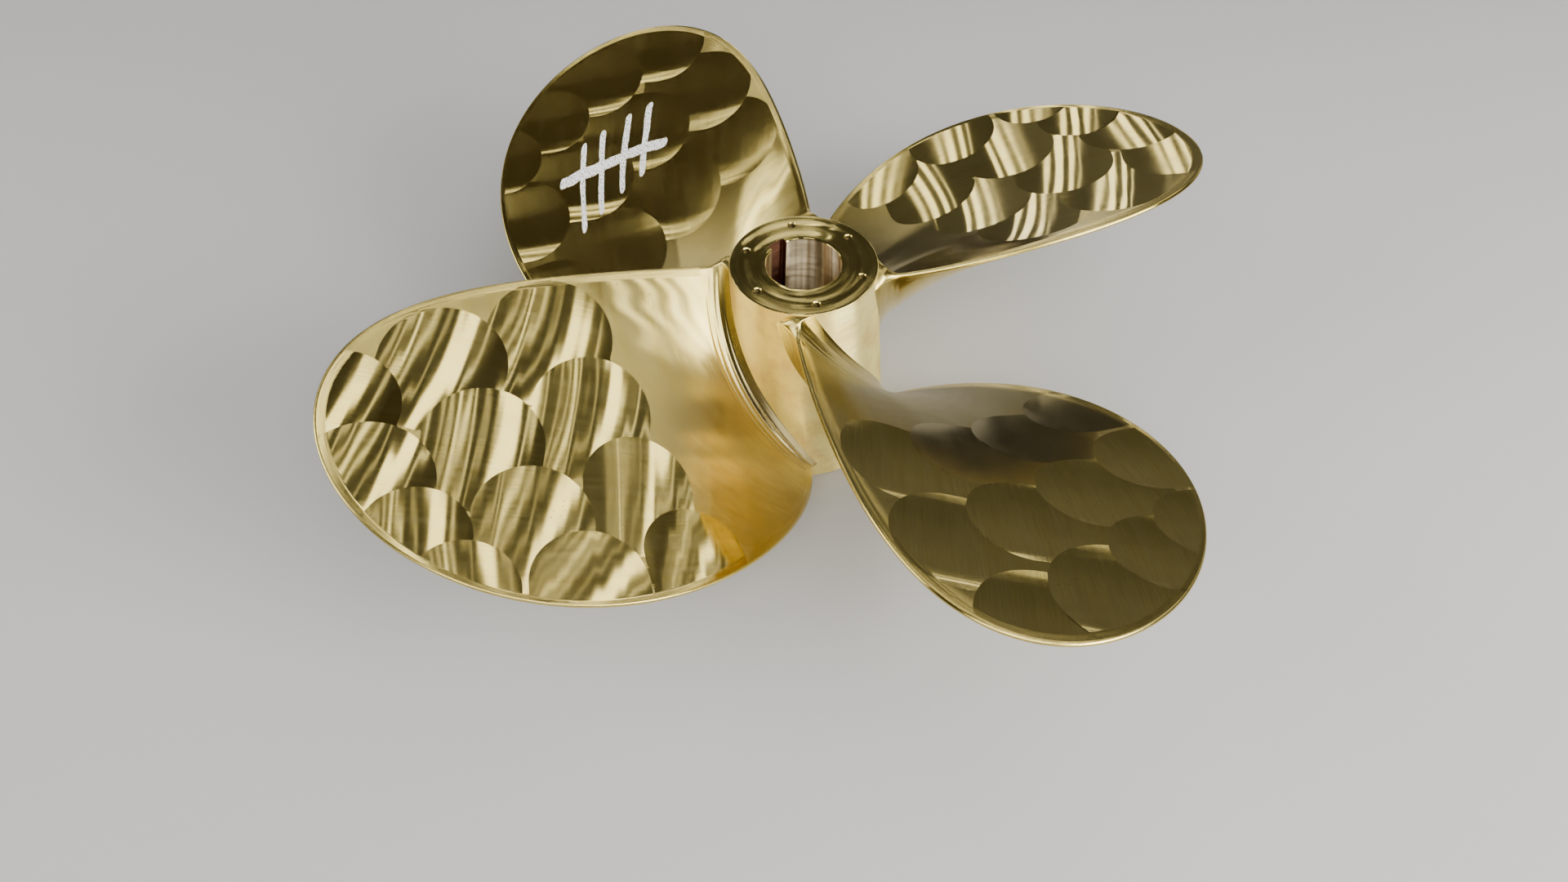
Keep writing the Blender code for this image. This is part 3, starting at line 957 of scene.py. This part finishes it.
class Tree:
    """Adds nodes to a tree in reading order, and links them."""

    def __init__(self, tree):
        self.tree = tree
        self.count = 0

    def put(self, value, socket):
        """Links another socket into this one, or sets a plain value on it."""
        if isinstance(value, bpy.types.NodeSocket):
            self.tree.links.new(value, socket)
        else:
            socket.default_value = value

    def add(self, kind, inputs=(), **settings):
        """A node with its settings; inputs pair a socket's name or index with what goes into it."""
        node = self.tree.nodes.new(kind)
        node.location = (180 * self.count, -60 * (self.count % 5))
        self.count += 1
        for name, value in settings.items():
            setattr(node, name, value)
        for key, value in inputs:
            self.put(value, node.inputs[key])
        return node

    def shared(self, name, *inputs):
        """The outputs of a shared node group, which is made once."""
        group = bpy.data.node_groups.get(name) or GROUP_MAKERS[name](name)
        return self.add("ShaderNodeGroup", inputs, node_tree=group).outputs

    def attribute(self, name):
        return self.add("ShaderNodeAttribute", attribute_name=name).outputs["Fac"]

    def uv_map(self, name):
        return self.add("ShaderNodeUVMap", uv_map=name).outputs[0]

    def place(self):
        return self.add("ShaderNodeTexCoord").outputs["Object"]

    def math(self, operation, *values, clamp=False):
        node = self.add("ShaderNodeMath", enumerate(values), operation=operation, use_clamp=clamp)
        return node.outputs[0]

    def plus(self, first, second):
        return self.math("ADD", first, second)

    def times(self, first, second):
        return self.math("MULTIPLY", first, second)

    def vector(self, operation, *values):
        """The result of a vector operation, which is one number for a length or a dot product."""
        outputs = self.add("ShaderNodeVectorMath", enumerate(values), operation=operation).outputs
        return outputs[1] if operation in ("LENGTH", "DOT_PRODUCT") else outputs[0]

    def scaled(self, vector, factor):
        return self.add("ShaderNodeVectorMath", [(0, vector), (3, factor)], operation="SCALE").outputs[0]

    def combined(self, x=0.0, y=0.0, z=0.0):
        return self.add("ShaderNodeCombineXYZ", enumerate((x, y, z))).outputs[0]

    def parts(self, vector):
        return self.add("ShaderNodeSeparateXYZ", [(0, vector)]).outputs

    def stretched(self, vector, scale):
        return self.add("ShaderNodeMapping", [(0, vector), ("Scale", scale)]).outputs[0]

    def noise(self, vector, scale, detail, roughness=0.5):
        inputs = [("Vector", vector), ("Scale", scale), ("Detail", detail), ("Roughness", roughness)]
        return self.add("ShaderNodeTexNoise", inputs).outputs

    def ramp(self, value, low, high, to_low=0.0, to_high=1.0):
        """The value mapped smoothly from one range to another, and held at its ends."""
        values = enumerate((value, low, high, to_low, to_high))
        return self.add("ShaderNodeMapRange", values, interpolation_type="SMOOTHSTEP").outputs[0]

    def mix(self, factor, first, second):
        inputs = [(0, factor), (6, first), (7, second)]
        return self.add("ShaderNodeMix", inputs, data_type="RGBA").outputs[2]

    def layered(self, tone, *layers):
        """A colour with others laid over it, each given as a mask, its strength and the colour."""
        for mask, strength, colour in layers:
            tone = self.mix(self.times(mask, strength), tone, colour)
        return tone


class Group(Tree):
    """A node group with named sockets: pairs of an input's name and default, and the outputs' names."""

    KINDS = {tuple: "Vector", float: "Float", int: "Int", type(None): "Material"}

    def __init__(self, name, inputs, outputs, family="Shader", result="Float"):
        super().__init__(bpy.data.node_groups.new(name, f"{family}NodeTree"))
        for label, value in inputs:
            kind = f"NodeSocket{self.KINDS[type(value)]}"
            socket = self.tree.interface.new_socket(label, in_out="INPUT", socket_type=kind)
            if value is not None:
                socket.default_value = value
        for label in outputs:
            self.tree.interface.new_socket(label, in_out="OUTPUT", socket_type=f"NodeSocket{result}")
        self.entry = self.add("NodeGroupInput").outputs

    def finished(self, *results):
        for result, socket in zip(results, self.add("NodeGroupOutput").inputs):
            self.put(result, socket)
        return self.tree


def brush_grain_group(name):
    """Fine scratches along the brush map: heights for a bump and a mask of paler streaks."""
    group = Group(name, [("Brush", ORIGIN), ("Fineness", 1.0)], ["Height", "Streaks"])
    fine = group.scaled(group.entry[0], group.entry[1])
    scratches = group.noise(group.stretched(fine, (90.0, 1.6, 1.0)), 1.0, 3.0, 0.6)[0]
    streaks = group.noise(group.stretched(fine, (9.0, 0.5, 1.0)), 1.0, 2.0)[0]
    return group.finished(scratches, group.ramp(streaks, 0.35, 0.68))


def grime_group(name):
    """Handling marks and stains: broad patches and small specks, on object coordinates."""
    group = Group(name, [("Place", ORIGIN), ("Patch Size", 0.08), ("Specks", 0.5)], ["Patches", "Specks"])
    place, size, amount = group.entry[:3]
    patches = group.noise(place, group.math("DIVIDE", 1.0, size), 4.0, 0.6)[0]
    dots = group.add("ShaderNodeTexVoronoi", [("Vector", place), ("Scale", 130.0), ("Randomness", 1.0)])
    small = group.ramp(dots.outputs["Distance"], 0.10, 0.16, 1.0, 0.0)
    gate = group.ramp(group.noise(place, 9.0, 1.0)[0], 0.60, 0.72)
    seen = group.times(group.times(small, gate), amount)
    return group.finished(group.ramp(patches, 0.40, 0.70), seen)


def chalk_group(name):
    """One chalk stroke on a flat map: 1 on the stroke, broken by the chalk's grain."""
    inputs = [("Plan", ORIGIN), ("Start", ORIGIN), ("End", (1.0, 0.0, 0.0)), ("Width", 0.01)]
    group = Group(name, inputs, ["Chalk"])
    plan, start, end, width = group.entry[:4]
    wobble = group.vector("MULTIPLY", group.noise(plan, 22.0, 2.0)["Color"], (0.010, 0.010, 0.0))
    away = group.vector("SUBTRACT", group.vector("ADD", plan, wobble), start)
    whole = group.vector("SUBTRACT", end, start)
    along, length = group.vector("DOT_PRODUCT", away, whole), group.vector("DOT_PRODUCT", whole, whole)
    nearest = group.scaled(whole, group.math("DIVIDE", along, length, clamp=True))
    gap = group.vector("LENGTH", group.vector("SUBTRACT", away, nearest))
    inside = group.ramp(group.math("DIVIDE", gap, width), 0.42, 0.56, 1.0, 0.0)
    grain = group.ramp(group.noise(plan, 420.0, 3.0)[0], 0.36, 0.50)
    return group.finished(group.times(inside, grain))


def ring_group(name):
    """Shallow rings round the shaft axis that swirl outwards, and the distance from that axis."""
    inputs = [("Place", ORIGIN), ("Spacing", 0.02), ("Swirl", 1.0)]
    group = Group(name, inputs, ["Height", "Radius"])
    place, spacing, swirl = group.entry[:3]
    parts = group.parts(place)
    radius = group.vector("LENGTH", group.combined(parts[0], parts[1]))
    turned = group.times(group.math("SINE", group.math("ARCTAN2", parts[1], parts[0])), swirl)
    turns = group.times(group.math("DIVIDE", radius, spacing), 2 * math.pi)
    return group.finished(group.math("SINE", group.plus(turns, turned)), radius)


GROUP_MAKERS = {
    "brush_grain": brush_grain_group,
    "grime": grime_group,
    "chalk_stroke": chalk_group,
    "turning_rings": ring_group,
}


class Surface(Tree):
    """A new material's nodes and its shader, on which the values that don't vary are set."""

    def __init__(self, name, **plain):
        self.material = bpy.data.materials.new(name)
        self.material.use_nodes = True
        super().__init__(self.material.node_tree)
        self.shader = self.tree.nodes["Principled BSDF"].inputs
        self.feed(**plain)

    def feed(self, **values):
        """Sets or links sockets of the shader, whose names are given in small letters."""
        for name, value in values.items():
            self.put(value, self.shader[name.replace("_", " ").title()])

    def brushed(self, height, strength, distance):
        """Sets the bump, and draws the gloss out across the scratches."""
        inputs = [("Strength", strength), ("Distance", distance), ("Height", height)]
        tangent = self.add("ShaderNodeTangent", direction_type="UV_MAP", uv_map="brush").outputs[0]
        self.feed(normal=self.add("ShaderNodeBump", inputs).outputs[0], tangent=tangent)


def blade_material(name, finish, chalked=False):
    """Buffed bronze whose gloss is drawn out across the scratches of each disc."""
    surface = Surface(name, metallic=1.0, anisotropic=finish.brushing)
    grain = surface.shared("brush_grain", ("Brush", surface.uv_map("brush")), ("Fineness", 1.0))
    grime = surface.shared("grime", ("Place", surface.place()), ("Patch Size", 0.09), ("Specks", 0.7))
    plain = surface.math("SUBTRACT", 1.0, surface.attribute("buffed"))
    warm = surface.times(surface.attribute("warmth"), plain)
    scratches = surface.ramp(grain["Height"], 0.62, 0.34, 0.0, finish.scratch_shade)
    tone = surface.layered(
        finish.bronze,
        (grain["Streaks"], 0.2, finish.pale_bronze),
        (warm, finish.ochre_strength, finish.ochre),
        (scratches, 1.0, finish.stain),
        (grime["Patches"], 0.18, finish.stain),
        (grime["Specks"], 1.0, finish.stain),
        # painted shade: the darker olive standing in for a dark reflection, where the attribute marks it
        (surface.attribute("painted_shade"), 1.0, finish.painted_shade),
    )
    rough = surface.ramp(grain["Streaks"], 0.0, 1.0, finish.roughness - 0.006, finish.roughness + 0.006)
    for mask, extra in ((grime["Patches"], 0.03), (plain, finish.dullness)):
        rough = surface.plus(rough, surface.times(mask, extra))
    if chalked:
        plan, marks = surface.uv_map("plan"), 0.0
        for start, end in CHALK_STROKES:
            ends = (("Start", (*start, 0.0)), ("End", (*end, 0.0)))
            stroke = surface.shared("chalk_stroke", ("Plan", plan), *ends, ("Width", CHALK_WIDTH))
            marks = surface.math("MAXIMUM", marks, stroke[0])
        tone = surface.mix(marks, tone, finish.chalk)
        rough = surface.math("MAXIMUM", rough, surface.times(marks, 0.8))
        surface.feed(metallic=surface.math("SUBTRACT", 1.0, marks))
    surface.feed(base_color=tone, roughness=rough)
    surface.brushed(grain["Height"], finish.scratch_depth, 0.0004)
    return surface.material


def hub_material(name, finish):
    """Turned bronze: rings on the face, a warmer skin on the barrel with a painted highlight on its +X
    side, painted reflection stripes on the bore and painted shade in the recesses.
    """
    surface = Surface(name, anisotropic=finish.brushing)
    brush, place = surface.uv_map("brush"), surface.place()
    grain = surface.shared("brush_grain", ("Brush", brush), ("Fineness", 1.6))
    grime = surface.shared("grime", ("Place", place), ("Patch Size", 0.05), ("Specks", 0.4))
    rings = surface.shared("turning_rings", ("Place", place), ("Spacing", 0.021), ("Swirl", 3.0))
    parts, shaded_recess, bored = surface.parts(place), surface.attribute("shaded_recess"), surface.attribute("bored")
    barrel = surface.ramp(rings["Radius"], *BARREL_FROM)
    # painted highlight: the barrel's +X side is painted a paler cream, as if lit
    lit_side = surface.times(barrel, surface.ramp(parts[0], *LIT_SIDE_FROM))
    face = surface.times(surface.ramp(parts[2], *FACE_FROM), surface.ramp(rings["Radius"], *RINGS_FROM))
    # painted reflection: pale and dark vertical stripes round the bore's wall stand in for mirrored lights
    stripes = surface.noise(surface.stretched(brush, (0.12, 3.4, 1.0)), 1.0, 2.0)[0]
    reflection_stripes = surface.mix(surface.ramp(stripes, 0.40, 0.58, 0.0, 0.85), finish.bore, finish.bore_dark_stripe)
    tone = surface.layered(
        finish.bronze,
        (grain["Streaks"], 0.2, finish.pale_bronze),
        (barrel, 0.95, finish.peach),
        (lit_side, 0.8, finish.lit_barrel),
        (surface.times(barrel, grime["Patches"]), 0.45, finish.mottle),
        (bored, 0.95, reflection_stripes),
        (grime["Patches"], 0.15, finish.stain),
        (grime["Specks"], 1.0, finish.stain),
        # painted shade: the keyway and the tapped holes are painted dark, the holes darkest
        (shaded_recess, 1.0, surface.mix(surface.ramp(rings["Radius"], *HOLES_FROM), finish.shaded_recess, finish.hole_shade)),
    )
    rough = surface.ramp(grain["Streaks"], 0.0, 1.0, finish.roughness - 0.04, finish.roughness + 0.05)
    for mask, extra in ((shaded_recess, 0.25), (barrel, finish.barrel_dullness), (bored, finish.bore_dullness)):
        rough = surface.plus(rough, surface.times(mask, extra))
    metal = surface.math("SUBTRACT", 1.0, surface.times(barrel, finish.skin))
    surface.feed(metallic=metal, base_color=tone, roughness=rough)
    surface.brushed(surface.times(rings["Height"], face), 1.0, finish.ring_depth)
    return surface.material


def thread_material(name, finish):
    """Cut thread, painted near-black as shade inside the holes, with patches of grime."""
    surface = Surface(name, metallic=1.0)
    grime = surface.shared("grime", ("Place", surface.place()), ("Patch Size", 0.004), ("Specks", 0.0))
    # painted shade: the thread is mostly the near-black hole colour, varied by grime patches
    grime_and_shade = surface.ramp(grime["Patches"], 0.0, 1.0, 0.75, 1.0)
    surface.feed(
        base_color=surface.mix(grime_and_shade, finish.bronze, finish.hole_shade),
        roughness=surface.ramp(grime["Patches"], 0.0, 1.0, 0.3, 0.55),
    )
    return surface.material


def shared_material(name, maker, *details):
    """The material of this name, which is made once."""
    return bpy.data.materials.get(name) or maker(name, *details)


def thread_tree():
    """Geometry nodes: one thread wound as a spiral, repeated round the hole circle."""
    inputs = [
        ("Hole Radius", 0.005), ("Pitch", 0.0015), ("Depth", 0.028), ("Circle Radius", 0.08),
        ("Face Height", 0.3), ("First Azimuth", 0.0), ("Count", 6), ("Material", None),
    ]
    group = Group("tapped_threads", inputs, ["Geometry"], "Geometry", "Geometry")
    radius, pitch, depth, circle, height, azimuth, count, material = group.entry[:8]

    def made(kind, *inputs, **settings):
        return group.add(f"GeometryNode{kind}", inputs, **settings).outputs[0]

    turns = ("Rotations", group.math("DIVIDE", depth, pitch))
    radii = (("Start Radius", radius), ("End Radius", radius))
    spiral = made("CurveSpiral", ("Resolution", 24), turns, *radii, ("Height", depth))
    wire = ("Radius", group.times(pitch, 0.42))
    profile = made("CurvePrimitiveCircle", ("Resolution", 4), wire, mode="RADIUS")
    thread = made("CurveToMesh", ("Curve", spiral), ("Profile Curve", profile), ("Fill Caps", True))
    points = made("MeshCircle", ("Vertices", count), ("Radius", circle), fill_type="NONE")
    drop = group.math("SUBTRACT", height, group.plus(depth, THREAD_START))
    moves = (("Translation", group.combined(z=drop)), ("Rotation", group.combined(z=azimuth)))
    ring = made("Transform", ("Geometry", points), *moves)
    copies = made("InstanceOnPoints", ("Points", ring), ("Instance", thread))
    real = made("RealizeInstances", (0, copies))
    return group.finished(made("SetMaterial", ("Geometry", real), ("Material", material)))


def node_made_mesh(name, group, values):
    """The plain mesh of a geometry node tree, its inputs set by their sockets' identifiers."""
    carrier = add_piece(name, bpy.data.meshes.new(name))
    modifier = carrier.modifiers.new("nodes", "NODES")
    modifier.node_group = group
    for item in group.interface.items_tree:
        if item.name in values:
            modifier[item.identifier] = values[item.name]
    carrier.update_tag()
    mesh = plain_mesh_of(carrier)
    mesh.name = name
    return mesh


def number(label, words, value, **more):
    return bpy.props.FloatProperty(name=label, description=words, default=value, **more)


def size(label, words, value, **more):
    return number(label, words, value, unit="LENGTH", **more)


def share(label, words, value):
    return number(label, words, value, subtype="FACTOR")


def whole(label, words, value, least):
    return bpy.props.IntProperty(name=label, description=words, default=value, min=least)


def colour(label, words, *channels):
    value = (*channels, 1)
    return bpy.props.FloatVectorProperty(
        name=label, description=words, default=value, size=4, min=0, max=1, subtype="COLOR"
    )


class HubSizes(bpy.types.PropertyGroup):
    """Sizes of the turned hub."""

    length: size("Length", "Height of the hub from its forward to its aft face", 0.305, min=0.05)
    aft_radius: size("Aft radius", "Outside radius at the aft face", 0.100)
    forward_radius: size("Forward radius", "Outside radius at the forward face", 0.1225)
    bore_radius: size("Bore radius", "Radius of the taper bore at the aft face", 0.051)
    bore_taper: number("Bore taper", "Change of the bore's diameter over its length", 1 / 12)
    keyway_azimuth: number("Keyway azimuth", "Direction of the keyway in degrees from +X", 138.0)
    keyway_width: size("Keyway width", "Width of the keyway", 0.026)
    keyway_depth: size("Keyway depth", "Depth of the keyway from the bore's wall", 0.007)
    hole_count: whole("Tapped holes", "Number of tapped holes in the aft face", 6, 1)
    hole_circle: size("Hole circle", "Radius of the circle that the holes lie on", 0.0815)
    hole_radius: size("Hole radius", "Radius of a tapped hole", 0.0051)
    hole_depth: size("Hole depth", "Depth of a tapped hole", 0.030)
    thread_pitch: size("Thread pitch", "Distance between two turns of the thread", 0.00175)
    sides: whole("Sides", "Number of sides that the turned hub has", 288, 24)


class BladeSizes(bpy.types.PropertyGroup):
    """Thicknesses and fineness of the blades."""

    root_thickness: size("Root thickness", "Thickness in the middle of the root", 0.044)
    tip_thickness: size("Tip thickness", "Thickness towards the tip", 0.010)
    edge_thickness: size("Edge thickness", "Thickness of the rounded rim", 0.007)
    face_fillet: size("Face fillet", "Radius of the fillet in the middle of the root", 0.028)
    edge_fillet: size("Edge fillet", "Radius of the fillet at the root's leading edge", 0.015)
    trailing_fillet: size("Trailing fillet", "Radius of the web from the trailing edge to the hub", 0.036)
    columns: whole("Columns", "Even number of faces across the pressure face", 228, 8)
    rows: whole("Rows", "Faces from fillet to tip", 226, 8)
    fillet_rows: whole("Fillet rows", "Rows over the fillet", 32, 4)
    rim_steps: whole("Rim steps", "Faces round the rim", 7, 2)


class PolishSizes(bpy.types.PropertyGroup):
    """What the grinding and buffing left on the blades."""

    dish_curve: number("Dish curve", "Curvature that a disc cuts into the metal, in radians a metre", 0.42)
    chord_curve: number("Chord curve", "Turn of its gloss across the blade, in radians a metre", 0.4)
    sweep_length: size("Sweep", "How far each disc is swept towards the leading edge", 0.10)
    arc_step: size("Arc step", "How much deeper a disc's hub side is cut", 0.0004)
    wave_slope: number("Wave slope", "Slope of the shallow waves in a disc, in radians", 0.004)
    lean: number("Lean", "Direction of the scratches from outwards, in radians", 0.0)
    rim_band: size("Rim band", "Width of the smooth band inside the rim", 0.009)
    ridge_height: size("Ridge height", "Height of the grinding ridges along the fillets", 0.0006)
    ridge_spacing: size("Ridge spacing", "Distance between two grinding ridges", 0.0075)


class BronzeFinish(bpy.types.PropertyGroup):
    """Colours and gloss of the bronze."""

    bronze: colour("Bronze", "Colour of the buffed bronze", 0.74, 0.59, 0.165)
    pale_bronze: colour("Pale bronze", "Colour of freshly cut streaks", 0.84, 0.74, 0.34)
    ochre: colour("Ochre", "Warmer colour of the bronze near the leading root", 0.80, 0.67, 0.39)
    peach: colour("Peach", "Colour of the hub's barrel", 1.0, 0.74, 0.17)
    # painted highlight colour: paler cream for the lit side of the barrel
    lit_barrel: colour("Ground barrel", "Colour of the barrel where it is ground", 1.0, 0.90, 0.36)
    mottle: colour("Mottle", "Colour of the barrel's warmer patches", 0.86, 0.50, 0.12)
    bore: colour("Bore", "Colour of the bore's wall", 0.86, 0.73, 0.48)
    # painted reflection colour: the dark stripes on the bore's wall
    bore_dark_stripe: colour("Worn bore", "Colour of the bore's darker stripes", 0.26, 0.16, 0.08)
    # painted shade colours for the keyway and for the tapped holes and their threads
    shaded_recess: colour("Recess", "Colour deep in the keyway", 0.16, 0.07, 0.04)
    hole_shade: colour("Hole", "Colour of the grime in the tapped holes", 0.07, 0.045, 0.02)
    stain: colour("Stain", "Colour of stains and specks", 0.22, 0.14, 0.05)
    # painted shade colour: a darker olive standing in for a dark reflection on the roots and some discs
    painted_shade: colour("Tarnish", "Darker olive of the tarnished roots", 0.20, 0.16, 0.05)
    chalk: colour("Chalk", "Colour of the chalk strokes", 0.97, 0.97, 0.96)
    ochre_strength: share("Ochre strength", "How strongly the ochre shows", 0.5)
    roughness: share("Roughness", "Roughness of the buffed bronze", 0.10)
    dullness: number("Dullness", "Extra roughness between the discs and the hub", 0.10)
    barrel_dullness: number("Barrel dullness", "Extra roughness of the hub's barrel", 0.30)
    bore_dullness: number("Bore dullness", "Extra roughness of the bore's wall", 0.28)
    skin: number("Skin", "How much of the barrel's casting skin scatters light like stone", 0.40)
    ring_depth: size("Ring depth", "Depth of the turning rings on the aft face", 0.00013, precision=5)
    brushing: share("Brushing", "How far the gloss is drawn out across the scratches", 1.0)
    scratch_shade: share("Scratch shade", "How dark the fine scratches look", 0.22)
    scratch_depth: share("Scratch depth", "Strength of the fine scratches", 0.006)


class StudioSettings(bpy.types.PropertyGroup):
    """Floor, lights and camera."""

    floor: colour("Floor", "Colour of the plain floor", 0.48, 0.475, 0.465)
    floor_size: size("Floor size", "Length of the floor's sides", 3.9)
    power: number("Power", "Brightness of all lights", 1.0, min=0)
    ambient: number("Ambient", "Brightness of the surroundings", 0.05)
    lens: number("Lens", "Focal length in millimetres", 25.62, min=1)


class PROPELLER_OT_hub(bpy.types.Operator):
    """Turn the hub, and cut its bore, keyway and holes"""

    bl_idname = "propeller.hub"
    bl_label = "Hub"

    def execute(self, context):
        material = shared_material("turned_bronze", hub_material, context.scene.bronze_finish)
        settle(add_piece("hub", hub_mesh(context.scene.hub_sizes), material))
        return {"FINISHED"}


class PROPELLER_OT_threads(bpy.types.Operator):
    """Cut the threads in the holes of the aft face"""

    bl_idname = "propeller.threads"
    bl_label = "Threads"

    def execute(self, context):
        hub = context.scene.hub_sizes
        values = {
            "Hole Radius": hub.hole_radius,
            "Pitch": hub.thread_pitch,
            "Depth": hub.hole_depth - THREAD_SPARE,
            "Circle Radius": hub.hole_circle,
            "Face Height": hub.length,
            "First Azimuth": math.radians(hub.keyway_azimuth) + math.pi / hub.hole_count,
            "Count": hub.hole_count,
            "Material": shared_material("threaded_bronze", thread_material, context.scene.bronze_finish),
        }
        mesh = node_made_mesh("hole_threads", thread_tree(), values)
        if not mesh.polygons:
            raise RuntimeError("the thread nodes made no faces")
        settle(add_piece("hole_threads", mesh))
        return {"FINISHED"}


class PROPELLER_OT_blades(bpy.types.Operator):
    """Loft the four blades, with their fillets, rims and buffed discs"""

    bl_idname = "propeller.blades"
    bl_label = "Blades"

    def execute(self, context):
        scene = context.scene
        plain = shared_material("buffed_bronze", blade_material, scene.bronze_finish)
        chalked = shared_material("chalked_bronze", blade_material, scene.bronze_finish, True)
        for index in range(len(DISC_SHIFTS)):
            mesh = finished_blade(index, scene.blade_sizes, scene.polish_sizes, scene.hub_sizes)
            settle(add_piece(f"blade_{index + 1}", mesh, chalked if index == CHALKED_BLADE else plain))
        return {"FINISHED"}


class PROPELLER_OT_stage(bpy.types.Operator):
    """Lay the floor, and set the lights and the camera"""

    bl_idname = "propeller.stage"
    bl_label = "Stage"

    def execute(self, context):
        studio = context.scene.studio_settings
        lay_floor(studio)
        light_studio(context.scene, studio)
        set_camera(context.scene, studio)
        return {"FINISHED"}


def lay_floor(studio):
    half = studio.floor_size / 2
    corners = [(-half, -half, 0), (half, -half, 0), (half, half, 0), (-half, half, 0)]
    mesh = bpy.data.meshes.new("floor")
    mesh.from_pydata(corners, [], [(0, 1, 2, 3)])
    surface = Surface("pale_floor", roughness=0.75)
    cloud = surface.noise(surface.place(), 1.3, 3.0)[0]
    darker = [channel * 0.94 for channel in studio.floor[:3]] + [1]
    surface.feed(base_color=surface.mix(cloud, studio.floor, darker))
    floor = add_piece("floor", mesh, surface.material)
    floor.location = FLOOR_PLACE


def light_studio(scene, studio):
    """A dim warm glow for reflections, a pale backdrop for the camera, strips and softboxes."""
    world = bpy.data.worlds.new("studio")
    world.use_nodes = True
    tree = Tree(world.node_tree)
    glow = tree.add("ShaderNodeBackground", [(0, GLOW), (1, studio.ambient)]).outputs[0]
    backdrop = tree.add("ShaderNodeBackground", [(0, BACKDROP), (1, 1.0)]).outputs[0]
    seen = tree.add("ShaderNodeLightPath").outputs["Is Camera Ray"]
    sky = tree.add("ShaderNodeMixShader", [(0, seen), (1, glow), (2, backdrop)]).outputs[0]
    tree.put(sky, world.node_tree.nodes["World Output"].inputs[0])
    scene.world = world
    for number_of_set, (plane, groups, strips) in enumerate(LIGHT_SETS):
        add_strips(f"{plane}_{number_of_set}", groups, strips, studio.power, PLANES[plane])
    for name, place, target, sides, watts in SOFTBOXES:
        light = bpy.data.lights.new(name, "AREA")
        light.shape = "RECTANGLE"
        light.size, light.size_y = sides
        light.energy = watts * studio.power
        lamp = add_piece(name, light)
        lamp.location = place
        lamp.rotation_euler = (Vector(target) - Vector(place)).to_track_quat("-Z", "Y").to_euler()
        lamp.visible_camera = False


def add_strips(name, groups, strips, power, place):
    """One mesh of glowing strips, as bright as its attribute says, that the camera doesn't see."""
    points, glow = [], []
    for middle, near, far, start, slant, count in groups:
        for offset, width, brightness in strips[:count]:
            for side, end in ((-1, near), (1, near), (1, far), (-1, far)):
                points.append(place(middle + offset + side * width / 2 + slant * (end - start), end))
            glow.append(brightness * power)
    mesh = bpy.data.meshes.new(name)
    mesh.from_pydata(points, [], [range(4 * i, 4 * i + 4) for i in range(len(glow))])
    add_attribute(mesh, "brightness", glow, "FACE")
    surface = Surface(name, base_color=(0, 0, 0, 1), emission_color=STRIP_COLOUR)
    surface.feed(emission_strength=surface.attribute("brightness"))
    strip = add_piece(name, mesh, surface.material)
    strip.visible_camera = False


def set_camera(scene, studio):
    camera = add_piece("camera", bpy.data.cameras.new("camera"))
    camera.location = CAMERA_PLACE
    camera.rotation_euler = [math.radians(angle) for angle in CAMERA_ANGLES]
    camera.data.lens = studio.lens
    camera.data.sensor_width = 36
    camera.data.clip_start = 0.02
    scene.camera = camera


SETTINGS = {
    "hub_sizes": HubSizes,
    "blade_sizes": BladeSizes,
    "polish_sizes": PolishSizes,
    "bronze_finish": BronzeFinish,
    "studio_settings": StudioSettings,
}

OPERATORS = (PROPELLER_OT_stage, PROPELLER_OT_hub, PROPELLER_OT_threads, PROPELLER_OT_blades)


class PROPELLER_PT_panel(bpy.types.Panel):
    """Sizes and steps of the propeller"""

    bl_idname = "PROPELLER_PT_panel"
    bl_label = "Ship Propeller"
    bl_space_type = "VIEW_3D"
    bl_region_type = "UI"
    bl_category = "Propeller"

    def draw(self, context):
        for name, group in SETTINGS.items():
            box = self.layout.box()
            box.label(text=group.__doc__.rstrip("."))
            for prop in group.__annotations__:
                box.prop(getattr(context.scene, name), prop)
        for operator in OPERATORS:
            self.layout.operator(operator.bl_idname)


CLASSES = (*SETTINGS.values(), *OPERATORS, PROPELLER_PT_panel)


def register():
    for member in CLASSES:
        bpy.utils.register_class(member)
    for name, group in SETTINGS.items():
        setattr(bpy.types.Scene, name, bpy.props.PointerProperty(type=group))


def unregister():
    for name in SETTINGS:
        delattr(bpy.types.Scene, name)
    for member in reversed(CLASSES):
        bpy.utils.unregister_class(member)


def main():
    register()
    bpy.ops.propeller.stage()
    bpy.ops.propeller.hub()
    bpy.ops.propeller.threads()
    bpy.ops.propeller.blades()


if __name__ == "__main__":
    main()
